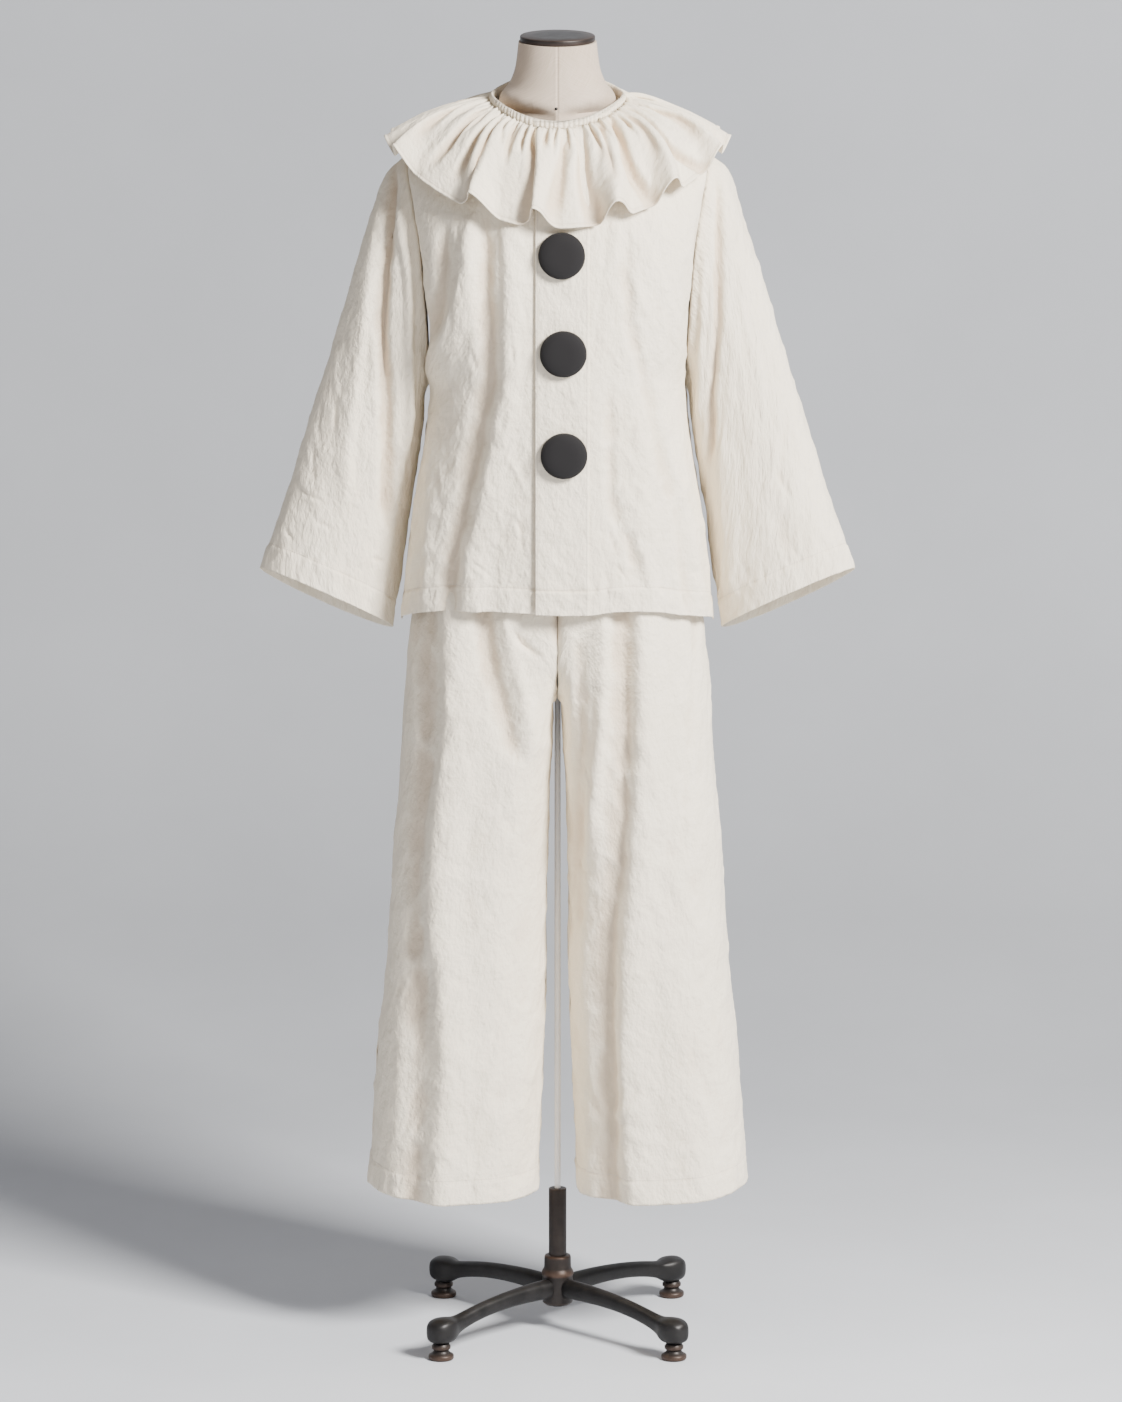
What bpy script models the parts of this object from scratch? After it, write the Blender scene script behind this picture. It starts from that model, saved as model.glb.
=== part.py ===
"""Two-piece clown costume with a gathered ruff, on a limbless dress form with a four-legged stand.

Metres, +Z up. The costume faces -Y, and the origin is on the floor under the pole. "left" and
"right" in a name are the wearer's: the wearer's left is at +X.
"""

import math

import bmesh
import bpy
import numpy as np

# ---------------------------------------------------------------------------
# Driving sizes
# ---------------------------------------------------------------------------
CLOTH = 0.0016  # wall of jacket and trousers
RUFF_CLOTH = 0.0014
SEAM_GAP = 0.0003  # between two pieces sewn together
HALF_SEAM = SEAM_GAP / 2 + 0.00005  # what each of them draws back, with a little slack
LAYER_GAP = 0.0003  # between cloth and what it lies on

HEM_SIDE_Z = 0.969
SHOULDER_POINT = (0.194, 0.004, 1.590)
NECK_HALF_WIDTH = 0.0855
NECK_SEAM_Z = 1.6576  # height of the jacket's neckline at the shoulder seam
UNDERARM_RISE = 0.58
# The armhole is close to this ellipse, seen from the side.
ARMHOLE_CENTRE = (0.006, 1.440)
ARMHOLE_HALF = (0.062, 0.150)
# How far the seam's normal leans out to the side: level with the centre, and what is added at the
# top and at the underarm.
SEAM_LEAN = 0.32
TOP_LEAN = 0.35
BODY_UNDER_LEAN = 0.28
SLEEVE_UNDER_LEAN = -0.62
SHOULDER_SEAM_NORMAL = (0.5, 0.0, 0.87)

PLACKET_EDGE_X = -0.029  # edge of the over front
PLACKET_STITCH_X = 0.041
UNDER_FRONT_EDGE_X = 0.035
PLACKET_CLOTH = 0.0010
LIFT_END_X = 0.080  # where the over front lies back on the body
LOOSE_LIFT = 0.0035  # how far its edge stands off at the hem
LOOSE_RISE = 0.75  # up to where it does
PLACKET_TOP_DROP = 0.0050  # how far its top edge lies below the neckline
OVER_FRONT_TOP_DROP = 0.0012

CROTCH_Z = 0.868
RISE_TOP_Z = 0.985  # where the centre seams become straight
TROUSER_TOP_Z = 1.1340
SEAM_OPEN_DEPTH = 0.022  # how far from the rod, front and back, the crotch seam is open
CROTCH_NORMAL = (-0.7071, 0.0, -0.7071)
HEM_RISE_SPAN = 0.10  # height over which the rise of the hem's outer side dies out
TROUSER_HEM_Z = 0.199
WAISTBAND_HEIGHT = 0.038
WAISTBAND_CLOTH = 0.0026

BUTTON_RADIUS = 0.0305
BUTTON_DOME = 0.0085
BUTTON_EDGE = 0.0055
BUTTON_UNDERCUT = 0.0030  # how much narrower its back is
BUTTON_RIM_HEIGHT = 0.0025
BUTTON_CENTRE_RADIUS = 0.0030  # the flat at the dome's middle

ROD_RADIUS = 0.004
POLE_RADIUS = 0.0118
POLE_TOP_Z = 0.1930
HUB_RADIUS = 0.0205
HUB_TOP_Z = 0.1010
HUB_BOTTOM_Z = 0.0330
FOOT_REACH = 0.2178  # from the pole's axis to a foot's axis
GLIDE_HEIGHT = 0.0215
GLIDE_RADIUS = 0.0168

CREAM = (0.80, 0.75, 0.66)
LINEN = (0.62, 0.55, 0.47)
CHARCOAL = (0.045, 0.043, 0.044)
BRONZE = (0.040, 0.035, 0.032)
PALE_STEEL = (0.44, 0.44, 0.45)

# Torso of the jacket from hem (rise 0) to neckline and shoulder seam (rise 1): the side line, which
# above the underarm is the armhole, and the centre lines of front and back.
TORSO_COLUMNS = (
    "rise", "side_x", "side_z", "armhole_front_y", "armhole_back_y",
    "front_y", "front_z", "back_y", "back_z",
)
TORSO_ROWS = (
    (0.00, 0.2060, HEM_SIDE_Z, 0.000, 0.000, -0.1250, 1.000, 0.1220, 0.972),
    (0.06, 0.2040, 0.9990, 0.000, 0.000, -0.1255, 1.029, 0.1215, 1.002),
    (0.18, 0.1985, 1.0580, 0.000, 0.000, -0.1280, 1.084, 0.1190, 1.063),
    (0.32, 0.1885, 1.1300, 0.000, 0.000, -0.1320, 1.153, 0.1165, 1.139),
    (0.46, 0.1755, 1.2080, 0.000, 0.000, -0.1365, 1.228, 0.1155, 1.222),
    (0.54, 0.1690, 1.2600, 0.000, 0.000, -0.1395, 1.278, 0.1165, 1.278),
    (0.58, 0.1668, 1.2900, 0.000, 0.000, -0.1410, 1.305, 0.1180, 1.308),
    (0.66, 0.1695, 1.3480, -0.034, 0.040, -0.1425, 1.368, 0.1220, 1.378),
    (0.74, 0.1735, 1.4080, -0.050, 0.060, -0.1415, 1.430, 0.1250, 1.448),
    (0.82, 0.1785, 1.4700, -0.055, 0.070, -0.1355, 1.495, 0.1215, 1.522),
    (0.90, 0.1880, 1.5320, -0.045, 0.056, -0.1205, 1.555, 0.1085, 1.592),
    (0.96, 0.1950, 1.5730, -0.022, 0.030, -0.0990, 1.603, 0.0860, 1.645),
    (1.00, *SHOULDER_POINT[::2], SHOULDER_POINT[1], SHOULDER_POINT[1], -0.0790, 1.6336, 0.0640, 1.6751),
)
TORSO_RISES = (
    0.0, 0.03, 0.09, 0.18, 0.27, 0.36, 0.45, 0.52, UNDERARM_RISE,
    0.61, 0.65, 0.70, 0.75, 0.80, 0.85, 0.90, 0.945, 0.98, 1.0,
)
TORSO_SQUARENESS = 2.25
# The torso bends in over the shoulders from this rise up, later and faster in y than in z.
BEND_RISE, BEND_IN, BEND_UP = 0.70, 4.0, 1.6
# Distance from the centre of each column of points, measured on the shoulder row.
CENTRE_COLUMNS = (PLACKET_EDGE_X, -0.010, 0.012, UNDER_FRONT_EDGE_X, PLACKET_STITCH_X)
SIDE_COLUMNS = (0.060, 0.076, NECK_HALF_WIDTH, 0.112, 0.145, 0.172, 0.186, 0.192, 0.194)
BACK_COLUMNS = (0.000, 0.030) + SIDE_COLUMNS

# Soft folds pressed into a panel: where across (x on the shoulder row), between which rises, the
# half width across and the height out of the cloth.
FOLD_COLUMNS = ("across", "low", "high", "half_width", "height")
FRONT_FOLDS = (
    (0.150, -0.40, 0.62, 0.022, 0.0050),
    (0.108, -0.50, 0.45, 0.020, -0.0040),
    (0.070, -0.40, 0.70, 0.018, 0.0025),
    (-0.075, -0.50, 0.55, 0.020, 0.0035),
    (-0.112, -0.30, 0.75, 0.020, -0.0040),
    (-0.155, -0.45, 0.60, 0.020, 0.0045),
)
BACK_FOLDS = (
    (0.140, -0.40, 0.70, 0.024, 0.0050),
    (0.090, -0.50, 0.60, 0.024, -0.0045),
    (0.035, -0.40, 0.75, 0.024, 0.0045),
    (-0.030, -0.50, 0.55, 0.024, -0.0035),
    (-0.085, -0.40, 0.70, 0.024, 0.0045),
    (-0.140, -0.45, 0.65, 0.024, -0.0040),
)

# The sleeve from armhole (reach 0) to cuff (reach 1): its top line, its under line and its depths.
SLEEVE_COLUMNS = ("reach", "top_x", "top_z", "under_x", "under_y", "under_z", "depth_front", "depth_back")
SLEEVE_ROWS = (
    (0.00, 0.1940, 1.5900, 0.1668, 0.000, 1.2900, 0.057, 0.068),
    (0.07, 0.2215, 1.5680, 0.1740, 0.006, 1.2640, 0.060, 0.070),
    (0.18, 0.2440, 1.5040, 0.1800, 0.012, 1.2240, 0.061, 0.070),
    (0.33, 0.2700, 1.4200, 0.1885, 0.018, 1.1700, 0.061, 0.068),
    (0.47, 0.2945, 1.3370, 0.1970, 0.022, 1.1200, 0.060, 0.066),
    (0.63, 0.3235, 1.2440, 0.2045, 0.024, 1.0650, 0.060, 0.064),
    (0.79, 0.3515, 1.1500, 0.2110, 0.024, 1.0150, 0.060, 0.063),
    (0.92, 0.3765, 1.0780, 0.2155, 0.024, 0.9760, 0.060, 0.062),
    (1.00, 0.3905, 1.0360, 0.2180, 0.024, 0.9540, 0.060, 0.062),
)
SLEEVE_REACHES = (0.0, 0.035, 0.08, 0.15, 0.24, 0.35, 0.47, 0.60, 0.73, 0.85, 0.94, 1.0)
ARMHOLE_FADE = 0.45  # reach at which the sleeve's own section has taken over
CUFF_LIFT_FRONT = 0.30
CUFF_DROP_BACK = 0.36
# Folds of a sleeve: turn is the place round it, 0 at the top line, 0.25 in front, 0.5 under the arm.
SLEEVE_FOLD_COLUMNS = ("turn", "low", "high", "half_width", "height")
SLEEVE_FOLDS = (
    (0.34, -0.10, 0.75, 0.060, -0.0060),
    (0.20, 0.10, 1.20, 0.060, 0.0040),
    (0.12, 0.35, 1.20, 0.045, -0.0030),
    (0.66, 0.00, 0.80, 0.060, -0.0050),
    (0.80, 0.20, 1.20, 0.060, 0.0040),
)

# A trouser leg by height: its inner and outer edge and its depths from the side seam.
# crown_x is where the front and back stand furthest out, and inner_square is how flat the inner
# thigh is.
LEG_COLUMNS = ("z", "inner_x", "outer_x", "depth_front", "depth_back", "crown_x", "inner_square")
LEG_ROWS = (
    (TROUSER_HEM_Z, 0.0255, 0.2520, 0.1080, 0.1080, 0.1390, 2.3),
    (0.2440, 0.0245, 0.2485, 0.1075, 0.1075, 0.1365, 2.3),
    (0.3180, 0.0215, 0.2440, 0.1065, 0.1070, 0.1330, 2.3),
    (0.4080, 0.0182, 0.2370, 0.1055, 0.1065, 0.1275, 2.3),
    (0.4970, 0.0152, 0.2270, 0.1050, 0.1060, 0.1210, 2.3),
    (0.6150, 0.0148, 0.2190, 0.1050, 0.1065, 0.1150, 2.4),
    (0.6830, 0.0135, 0.2145, 0.1055, 0.1080, 0.1080, 2.6),
    (0.7620, 0.0105, 0.2072, 0.1065, 0.1095, 0.0980, 2.9),
    (0.8200, 0.0072, 0.2040, 0.1075, 0.1105, 0.0880, 3.2),
    (CROTCH_Z, 0.0056, 0.2012, 0.1080, 0.1115, 0.0760, 3.4),
    (0.9200, 0.0056, 0.1970, 0.1080, 0.1115, 0.0590, 3.4),
    (0.9680, 0.0056, 0.1925, 0.1075, 0.1105, 0.0420, 3.2),
    (1.0200, 0.0056, 0.1800, 0.1050, 0.1070, 0.0240, 2.8),
    (1.0700, 0.0056, 0.1600, 0.0995, 0.1020, 0.0090, 2.4),
    (TROUSER_TOP_Z, 0.0056, 0.1330, 0.0930, 0.0930, 0.0010, 2.2),
)
LEG_HEIGHTS = (
    TROUSER_HEM_Z, 0.2350, 0.3000, 0.3900, 0.4900, 0.6000, 0.7000, 0.7850, 0.8350, CROTCH_Z,
    0.8720, 0.8880, 0.9200, 0.9850, 1.0500, TROUSER_TOP_Z,
)
LEG_COLUMN_COUNT = 9
LEG_SQUARENESS = 2.3
HEM_OUTER_RISE = 0.010  # the trouser hem is a little higher at the side seam
# Folds of a leg: turn runs from the inner edge (0) to the side seam (1), low and high are heights.
LEG_FOLD_COLUMNS = ("turn_low", "turn_high", "low", "high", "half_width", "height")
LEG_FOLDS = {
    "front": (
        (0.42, 0.56, 0.10, 1.00, 0.11, 0.0065),
        (0.62, 0.74, 0.10, 0.70, 0.09, -0.0045),
        (0.24, 0.26, 0.45, 0.95, 0.07, -0.0035),
    ),
    "back": (
        (0.50, 0.55, 0.10, 1.00, 0.11, 0.0060),
        (0.72, 0.76, 0.10, 0.75, 0.09, -0.0045),
        (0.28, 0.24, 0.20, 0.85, 0.07, -0.0035),
    ),
}

# The neck ring that band, ruff and jacket share, by angle round the neck (front is -90 degrees).
RING_HALF_WIDTH = 0.0860
RING_FRONT_Y, RING_BACK_Y = -0.0790, 0.0640
RING_FRONT_Z, RING_SIDE_Z, RING_BACK_Z = 1.6400, 1.6640, 1.6815
BAND_HEIGHT, BAND_DEPTH = 0.0120, 0.0050
BAND_GATHERS = 48
BAND_RIB = 0.0005  # how far a gather stands out

# The ruff's edge where it lies low, and the flutes that rise from it.
RUFF_HALF_WIDTH = 0.2195
RUFF_FRONT_Y, RUFF_BACK_Y = -0.1500, 0.1430
RUFF_FRONT_Z, RUFF_SIDE_Z, RUFF_BACK_Z = 1.5168, 1.5990, 1.5610
RUFF_START_OUT, RUFF_START_DOWN = 0.0032, 0.0036  # from the middle of the band
RUFF_CROWN, RUFF_CROWN_BIAS = 0.0120, 0.8  # how far it arches above a straight line, and how near the neck
# The folds hang rather than stand straight out, so each starts nearer the side than it ends: by this
# many degrees at most, within this many of the front.
RUFF_HANG, RUFF_HANG_SPAN = 21.0, 110.0
RUFF_COLUMN_COUNT = 135
RUFF_DROPS = (0.0, 0.13, 0.33, 0.56, 0.80, 1.0)
RUFF_PLEATS = 30
PLEAT_HEIGHT, PLEAT_BIAS = 0.0024, 0.6  # of the fine pleats, highest below the heading
FLUTE_OUT_SIDE, FLUTE_OUT_FRONT = 0.42, 0.76  # which way a flute leans: out and up, at the sides
FLUTE_UP_SIDE, FLUTE_UP_FRONT = 0.91, 0.65  # and in front and behind
FLUTE_HEIGHT, FLUTE_GROWTH = 0.0290, 1.25  # at the edge, and how late it is reached
# Each flute's angle and half width in degrees, and its height as a share of FLUTE_HEIGHT.
FLUTES = (
    (-179.0, 11.0, 0.45), (-157.5, 9.5, 0.75), (-118.8, 10.5, 0.95), (-97.7, 9.0, 1.00),
    (-71.5, 8.5, 1.00), (-50.2, 8.5, 0.90), (-22.7, 9.5, 0.75), (-1.0, 10.0, 0.45), (24.0, 11.0, 0.70),
    (48.0, 10.5, 0.85), (71.0, 10.0, 0.95), (95.0, 10.5, 0.85), (118.0, 10.0, 0.95), (141.0, 11.0, 0.75),
    (161.0, 9.5, 0.60),
)

# Dress form by height: half width, depths and squareness of its section.
WAIST_HALF_WIDTH, WAIST_DEPTH = 0.1290, 0.0878
FORM_COLUMNS = ("z", "half_x", "front_y", "back_y", "squareness")
FORM_ROWS = (
    (0.9250, 0.1400, -0.0740, 0.0800, 2.2),
    (0.9450, 0.1540, -0.0860, 0.0900, 2.2),
    (0.9800, 0.1620, -0.0960, 0.0990, 2.2),
    (1.0200, 0.1600, -0.0980, 0.1000, 2.2),
    (1.0800, 0.1430, -0.0920, 0.0950, 2.2),
    (1.1300, WAIST_HALF_WIDTH, -WAIST_DEPTH, WAIST_DEPTH, 2.2),
    (1.1760, WAIST_HALF_WIDTH, -WAIST_DEPTH, WAIST_DEPTH, 2.2),
    (1.2400, 0.1300, -0.0980, 0.0900, 2.2),
    (1.3200, 0.1420, -0.1180, 0.0980, 2.2),
    (1.3900, 0.1500, -0.1260, 0.1050, 2.2),
    (1.4600, 0.1520, -0.1180, 0.1060, 2.1),
    (1.5200, 0.1580, -0.0980, 0.0980, 2.0),
    (1.5650, 0.1680, -0.0760, 0.0840, 1.7),
    (1.5900, 0.1720, -0.0690, 0.0740, 1.35),
    (1.6050, 0.1640, -0.0670, 0.0690, 1.15),
    (1.6300, 0.1244, -0.0655, 0.0620, 1.15),
    (1.6500, 0.0902, -0.0636, 0.0575, 1.12),
    (1.6600, 0.0770, -0.0630, 0.0565, 1.7),
    (1.6700, 0.0740, -0.0610, 0.0560, 2.0),
    (1.6830, 0.0630, -0.0580, 0.0550, 2.0),
    (1.7060, 0.0548, -0.0545, 0.0530, 2.0),
    (1.7380, 0.0508, -0.0510, 0.0510, 2.0),
)
FORM_SIDES = 24
FORM_BOTTOM_Z = FORM_ROWS[0][0]
FORM_TOP_Z = FORM_ROWS[-1][0]

# Turned profiles: radius and height, from the bottom up.
CAP_PROFILE = ((0.0475, 0.0000), (0.0490, 0.0012), (0.0490, 0.0060), (0.0478, 0.0075), (0.0300, 0.0079))
HUB_PROFILE = (
    (0.0170, HUB_BOTTOM_Z), (0.0195, 0.0355), (HUB_RADIUS, 0.0380), (HUB_RADIUS, 0.0730),
    (0.0212, 0.0756), (0.0206, 0.0790), (0.0180, 0.0830), (0.0178, 0.0975), (0.0160, HUB_TOP_Z),
)
GLIDE_PROFILE = (
    (0.0140, 0.0), (GLIDE_RADIUS, 0.0022), (GLIDE_RADIUS, 0.0060), (0.0130, 0.0085),
    (0.0100, 0.0120), (0.0125, 0.0150), (0.0125, 0.0185), (0.0105, GLIDE_HEIGHT - 0.0003),
)
BUTTON_PROFILE_STEPS = 4
BUTTON_SIDES = 24

# A cast leg from hub to foot: reach from the pole's axis, heights of its underside and of its
# ridge, half width, and the share of its height at which its shoulders lie.
LEG_BAR_COLUMNS = ("reach", "under_z", "ridge_z", "half_width", "shoulder")
LEG_BAR_ROWS = (
    (0.0209, 0.0440, 0.0715, 0.0110, 0.72),
    (0.0450, 0.0450, 0.0722, 0.0095, 0.72),
    (0.0900, 0.0462, 0.0700, 0.0086, 0.72),
    (0.1350, 0.0430, 0.0655, 0.0082, 0.72),
    (0.1700, 0.0365, 0.0595, 0.0084, 0.74),
    (0.1920, 0.0300, 0.0545, 0.0100, 0.78),
    (0.2010, 0.0232, 0.0555, 0.0150, 0.82),
    (0.2090, 0.0215, 0.0570, 0.0178, 0.84),
    (0.2180, 0.0215, 0.0572, 0.0185, 0.84),
    (0.2270, 0.0222, 0.0560, 0.0170, 0.82),
    (0.2340, 0.0245, 0.0525, 0.0125, 0.78),
    (0.2370, 0.0290, 0.0480, 0.0060, 0.70),
)
FEET = {"front_right": -135.0, "front_left": -45.0, "back_left": 45.0, "back_right": 135.0}
# Each button's centre, and how far it sits off the placket so that its rim clears it.
BUTTONS = {
    "button_1": (0.0054, 1.4790, 0.0004),
    "button_2": (0.0075, 1.3515, 0.0007),
    "button_3": (0.0084, 1.2160, 0.0014),
}


# ---------------------------------------------------------------------------
# Reading tables
# ---------------------------------------------------------------------------
def smooth(keys, values, at):
    """A curve through the values that never swings past them."""
    keys, values, at = (np.asarray(item, float) for item in (keys, values, at))
    steps = np.diff(keys)
    rises = np.diff(values) / steps
    before, after = rises[:-1], rises[1:]
    slopes = np.empty(len(keys))
    slopes[0], slopes[-1] = rises[0], rises[-1]
    total = np.where(before + after == 0, 1.0, before + after)
    slopes[1:-1] = np.where(before * after > 0, 2 * before * after / total, 0.0)
    part = np.clip(np.searchsorted(keys, at, side="right") - 1, 0, len(keys) - 2)
    step = steps[part]
    share = (np.clip(at, keys[0], keys[-1]) - keys[part]) / step
    square, cube = share**2, share**3
    return (
        (2 * cube - 3 * square + 1) * values[part]
        + (cube - 2 * square + share) * step * slopes[part]
        + (3 * square - 2 * cube) * values[part + 1]
        + (cube - square) * step * slopes[part + 1]
    )


def table(columns, rows, at):
    """Every column of a table, read as curves over its first column."""
    data = np.array(rows, float).T
    return {name: smooth(data[0], data[i], at) for i, name in enumerate(columns) if i}


def bump(distance, half_width):
    """1 at a fold's crest and 0 beyond its half width, with soft shoulders."""
    return np.cos(np.clip(distance / half_width, -1, 1) * math.pi / 2) ** 2


def smooth_step(share):
    """0 to 1 with a soft start and end."""
    share = np.clip(share, 0, 1)
    return share**2 * (3 - 2 * share)


def fade(at, low, high):
    """1 in the middle of a span and 0 at its ends."""
    middle, half = (low + high) / 2, (high - low) / 2
    return bump(at - middle, half)


def unit(vectors):
    """Vectors at length 1."""
    return vectors / np.linalg.norm(vectors, axis=-1, keepdims=True)


# ---------------------------------------------------------------------------
# Grids of points
# ---------------------------------------------------------------------------
def grid_normals(grid, closed=False):
    """Normals of a grid whose columns run to the left of its rows' rise."""
    if closed:
        ring = np.concatenate([grid[:, -1:], grid, grid[:, :1]], axis=1)
        across = (ring[:, 2:] - ring[:, :-2]) / 2
    else:
        across = np.gradient(grid, axis=1)
    return unit(np.cross(across, np.gradient(grid, axis=0)))


def pulled(grid, sides, amount):
    """The grid with the named edges drawn back towards their neighbours."""
    result = grid.copy()
    for side in sides:
        edge, inner = {
            "first_column": ((slice(None), 0), (slice(None), 1)),
            "last_column": ((slice(None), -1), (slice(None), -2)),
            "first_row": (0, 1),
            "last_row": (-1, -2),
        }[side]
        result[edge] += amount * unit(grid[inner] - grid[edge])
    return result


def finish(name, mesh, material):
    """Links a bmesh as one object with its faces pointing out."""
    bmesh.ops.triangulate(mesh, faces=mesh.faces[:])
    if mesh.calc_volume(signed=True) < 0:
        bmesh.ops.reverse_faces(mesh, faces=mesh.faces[:])
    data = bpy.data.meshes.new(name)
    mesh.to_mesh(data)
    mesh.free()
    data.shade_smooth()
    data.set_sharp_from_angle(angle=math.radians(50))
    data.materials.append(material)
    piece = bpy.data.objects.new(name, data)
    bpy.context.scene.collection.objects.link(piece)
    return piece


def strip(mesh, lower, upper, closed):
    """Triangles between two rows of points, always split along the same diagonal."""
    count = len(lower)
    for j in range(count if closed else count - 1):
        k = (j + 1) % count
        mesh.faces.new((lower[j], lower[k], upper[k]))
        mesh.faces.new((lower[j], upper[k], upper[j]))


def shell(name, outer, inner, material, closed=False):
    """A cloth wall between two grids of points. closed joins the last column to the first."""
    mesh = bmesh.new()
    out = [[mesh.verts.new(point) for point in row] for row in outer]
    back = [[mesh.verts.new(point) for point in row] for row in inner]
    for lower, upper in zip(out, out[1:]):
        strip(mesh, lower, upper, closed)
    for lower, upper in zip(back, back[1:]):
        for j in range(len(lower) if closed else len(lower) - 1):
            k = (j + 1) % len(lower)
            mesh.faces.new((lower[j], upper[k], lower[k]))
            mesh.faces.new((lower[j], upper[j], upper[k]))
    strip(mesh, back[0], out[0], closed)
    strip(mesh, out[-1], back[-1], closed)
    if not closed:
        strip(mesh, [row[0] for row in out], [row[0] for row in back], False)
        strip(mesh, [row[-1] for row in back], [row[-1] for row in out], False)
    return finish(name, mesh, material)


def solid_rings(name, rings, material):
    """A body through rings of points, closed by a flat face at each end."""
    mesh = bmesh.new()
    rows = [[mesh.verts.new(point) for point in ring] for ring in rings]
    for lower, upper in zip(rows, rows[1:]):
        strip(mesh, lower, upper, True)
    mesh.faces.new(rows[0][::-1])
    mesh.faces.new(rows[-1])
    return finish(name, mesh, material)


def turned(name, profile, sides, material, centre=(0.0, 0.0, 0.0), axis=(0.0, 0.0, 1.0)):
    """A turned body: a profile of radius and height spun about an axis."""
    axis = unit(np.array(axis, float))
    helper = np.array((1.0, 0.0, 0.0)) if abs(axis[0]) < 0.9 else np.array((0.0, 1.0, 0.0))
    first = unit(np.cross(axis, helper))
    second = np.cross(axis, first)
    angles = 2 * math.pi * np.arange(sides) / sides
    around = np.cos(angles)[:, None] * first + np.sin(angles)[:, None] * second
    rings = [np.array(centre) + radius * around + height * axis for radius, height in profile]
    return solid_rings(name, rings, material)


def make_material(name, colour, roughness, metallic=0.0):
    """A Principled material."""
    material = bpy.data.materials.new(name)
    material.use_nodes = True
    shader = material.node_tree.nodes["Principled BSDF"]
    shader.inputs["Base Color"].default_value = (*colour, 1.0)
    shader.inputs["Roughness"].default_value = roughness
    shader.inputs["Metallic"].default_value = metallic
    return material


# ---------------------------------------------------------------------------
# Jacket
# ---------------------------------------------------------------------------
def column_x(columns, side_x):
    """X of each column in a row whose side line is at side_x."""
    columns = np.asarray(columns, float)[None, :]
    side_x = np.asarray(side_x)[:, None]
    fixed, widest = PLACKET_STITCH_X, SHOULDER_POINT[0]
    share = (np.abs(columns) - fixed) / (widest - fixed)
    spread = np.sign(columns) * (fixed + (side_x - fixed) * share)
    return np.where(np.abs(columns) <= fixed, columns + 0 * side_x, spread)


def shoulder_row(columns, front):
    """The neckline and the shoulder seam: y and z at each column."""
    centre_y = RING_FRONT_Y if front else RING_BACK_Y
    centre_z = TORSO_ROWS[-1][6 if front else 8]
    across = np.abs(np.asarray(columns, float))
    share = np.sqrt(np.clip(1 - (across / NECK_HALF_WIDTH) ** 2, 0, 1))
    out = np.clip((across - NECK_HALF_WIDTH) / (SHOULDER_POINT[0] - NECK_HALF_WIDTH), 0, 1)
    y = centre_y * share + SHOULDER_POINT[1] * out
    z = NECK_SEAM_Z + (centre_z - NECK_SEAM_Z) * share**2 + (SHOULDER_POINT[2] - NECK_SEAM_Z) * out
    return y, z


def section(share, centre_y, side_y, centre_z, side_z):
    """Y and z along a row of the torso, from its centre line (share 0) to its side line (1)."""
    bend = 1 - np.clip(1 - np.abs(share) ** TORSO_SQUARENESS, 0, 1) ** (1 / TORSO_SQUARENESS)
    return centre_y + (side_y - centre_y) * bend, centre_z + (side_z - centre_z) * bend**1.3


def armhole_normal(points, under_lean):
    """The direction out of the armhole seam. The pieces that meet there share it at the top and part
    at the underarm, each by its own lean."""
    across = (points[..., 1] - ARMHOLE_CENTRE[0]) / ARMHOLE_HALF[0] ** 2
    along = (points[..., 2] - ARMHOLE_CENTRE[1]) / ARMHOLE_HALF[1] ** 2
    length = np.sqrt(across**2 + along**2)
    across, along = across / length, along / length
    out = SEAM_LEAN + TOP_LEAN * np.clip(along, 0, 1) + under_lean * np.clip(-along, 0, 1) ** 2
    sign = np.sign(points[..., 0])
    return unit(np.stack([sign * out, across, along], axis=-1))


def torso(columns, front, folds):
    """Outer points and normals of the jacket's front or back, a row for each rise."""
    rises = np.array(TORSO_RISES)
    line = table(TORSO_COLUMNS, TORSO_ROWS, rises)
    columns = np.asarray(columns, float)
    x = column_x(columns, line["side_x"])
    share = x / line["side_x"][:, None]
    centre_y, centre_z = (line["front_y"], line["front_z"]) if front else (line["back_y"], line["back_z"])
    side_y = line["armhole_front_y"] if front else line["armhole_back_y"]
    y, z = section(share, centre_y[:, None], side_y[:, None], centre_z[:, None], line["side_z"][:, None])
    # The top of the torso bends over into the neckline and the shoulder seam.
    top_y, top_z = shoulder_row(columns, front)
    turn = np.clip((rises - BEND_RISE) / (1 - BEND_RISE), 0, 1)[:, None]
    y = y + turn**BEND_IN * (top_y - y[-1])
    z = z + turn**BEND_UP * (top_z - z[-1])
    grid = np.stack([x, y, z], axis=-1)
    facing = 1.0 if front else -1.0
    normals = facing * grid_normals(grid)
    height = np.zeros(x.shape)
    for across, low, high, half_width, rise in folds:
        height += rise * bump(columns[None, :] - across, half_width) * fade(rises, low, high)[:, None]
    grid = grid + height[..., None] * normals
    normals = facing * grid_normals(grid)
    # Seams: the pieces on both sides of one share its normals.
    lower = rises < UNDERARM_RISE
    slope = np.gradient(line["side_x"], line["side_z"])
    for edge in (0, -1):
        if abs(columns[edge]) < SHOULDER_POINT[0]:
            continue
        sign = np.sign(columns[edge])
        side = unit(np.stack([sign + 0 * slope, 0 * slope, -slope], axis=-1))
        normals[:, edge] = np.where(lower[:, None], side, armhole_normal(grid[:, edge], BODY_UNDER_LEAN))
    shoulder = np.abs(columns) >= NECK_HALF_WIDTH
    over = np.where(columns[:, None] < 0, (-1, 1, 1), (1, 1, 1)) * SHOULDER_SEAM_NORMAL
    seam = shoulder & (np.abs(columns) < SHOULDER_POINT[0])
    normals[-1, seam] = unit(over[seam])
    return grid, normals


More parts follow.
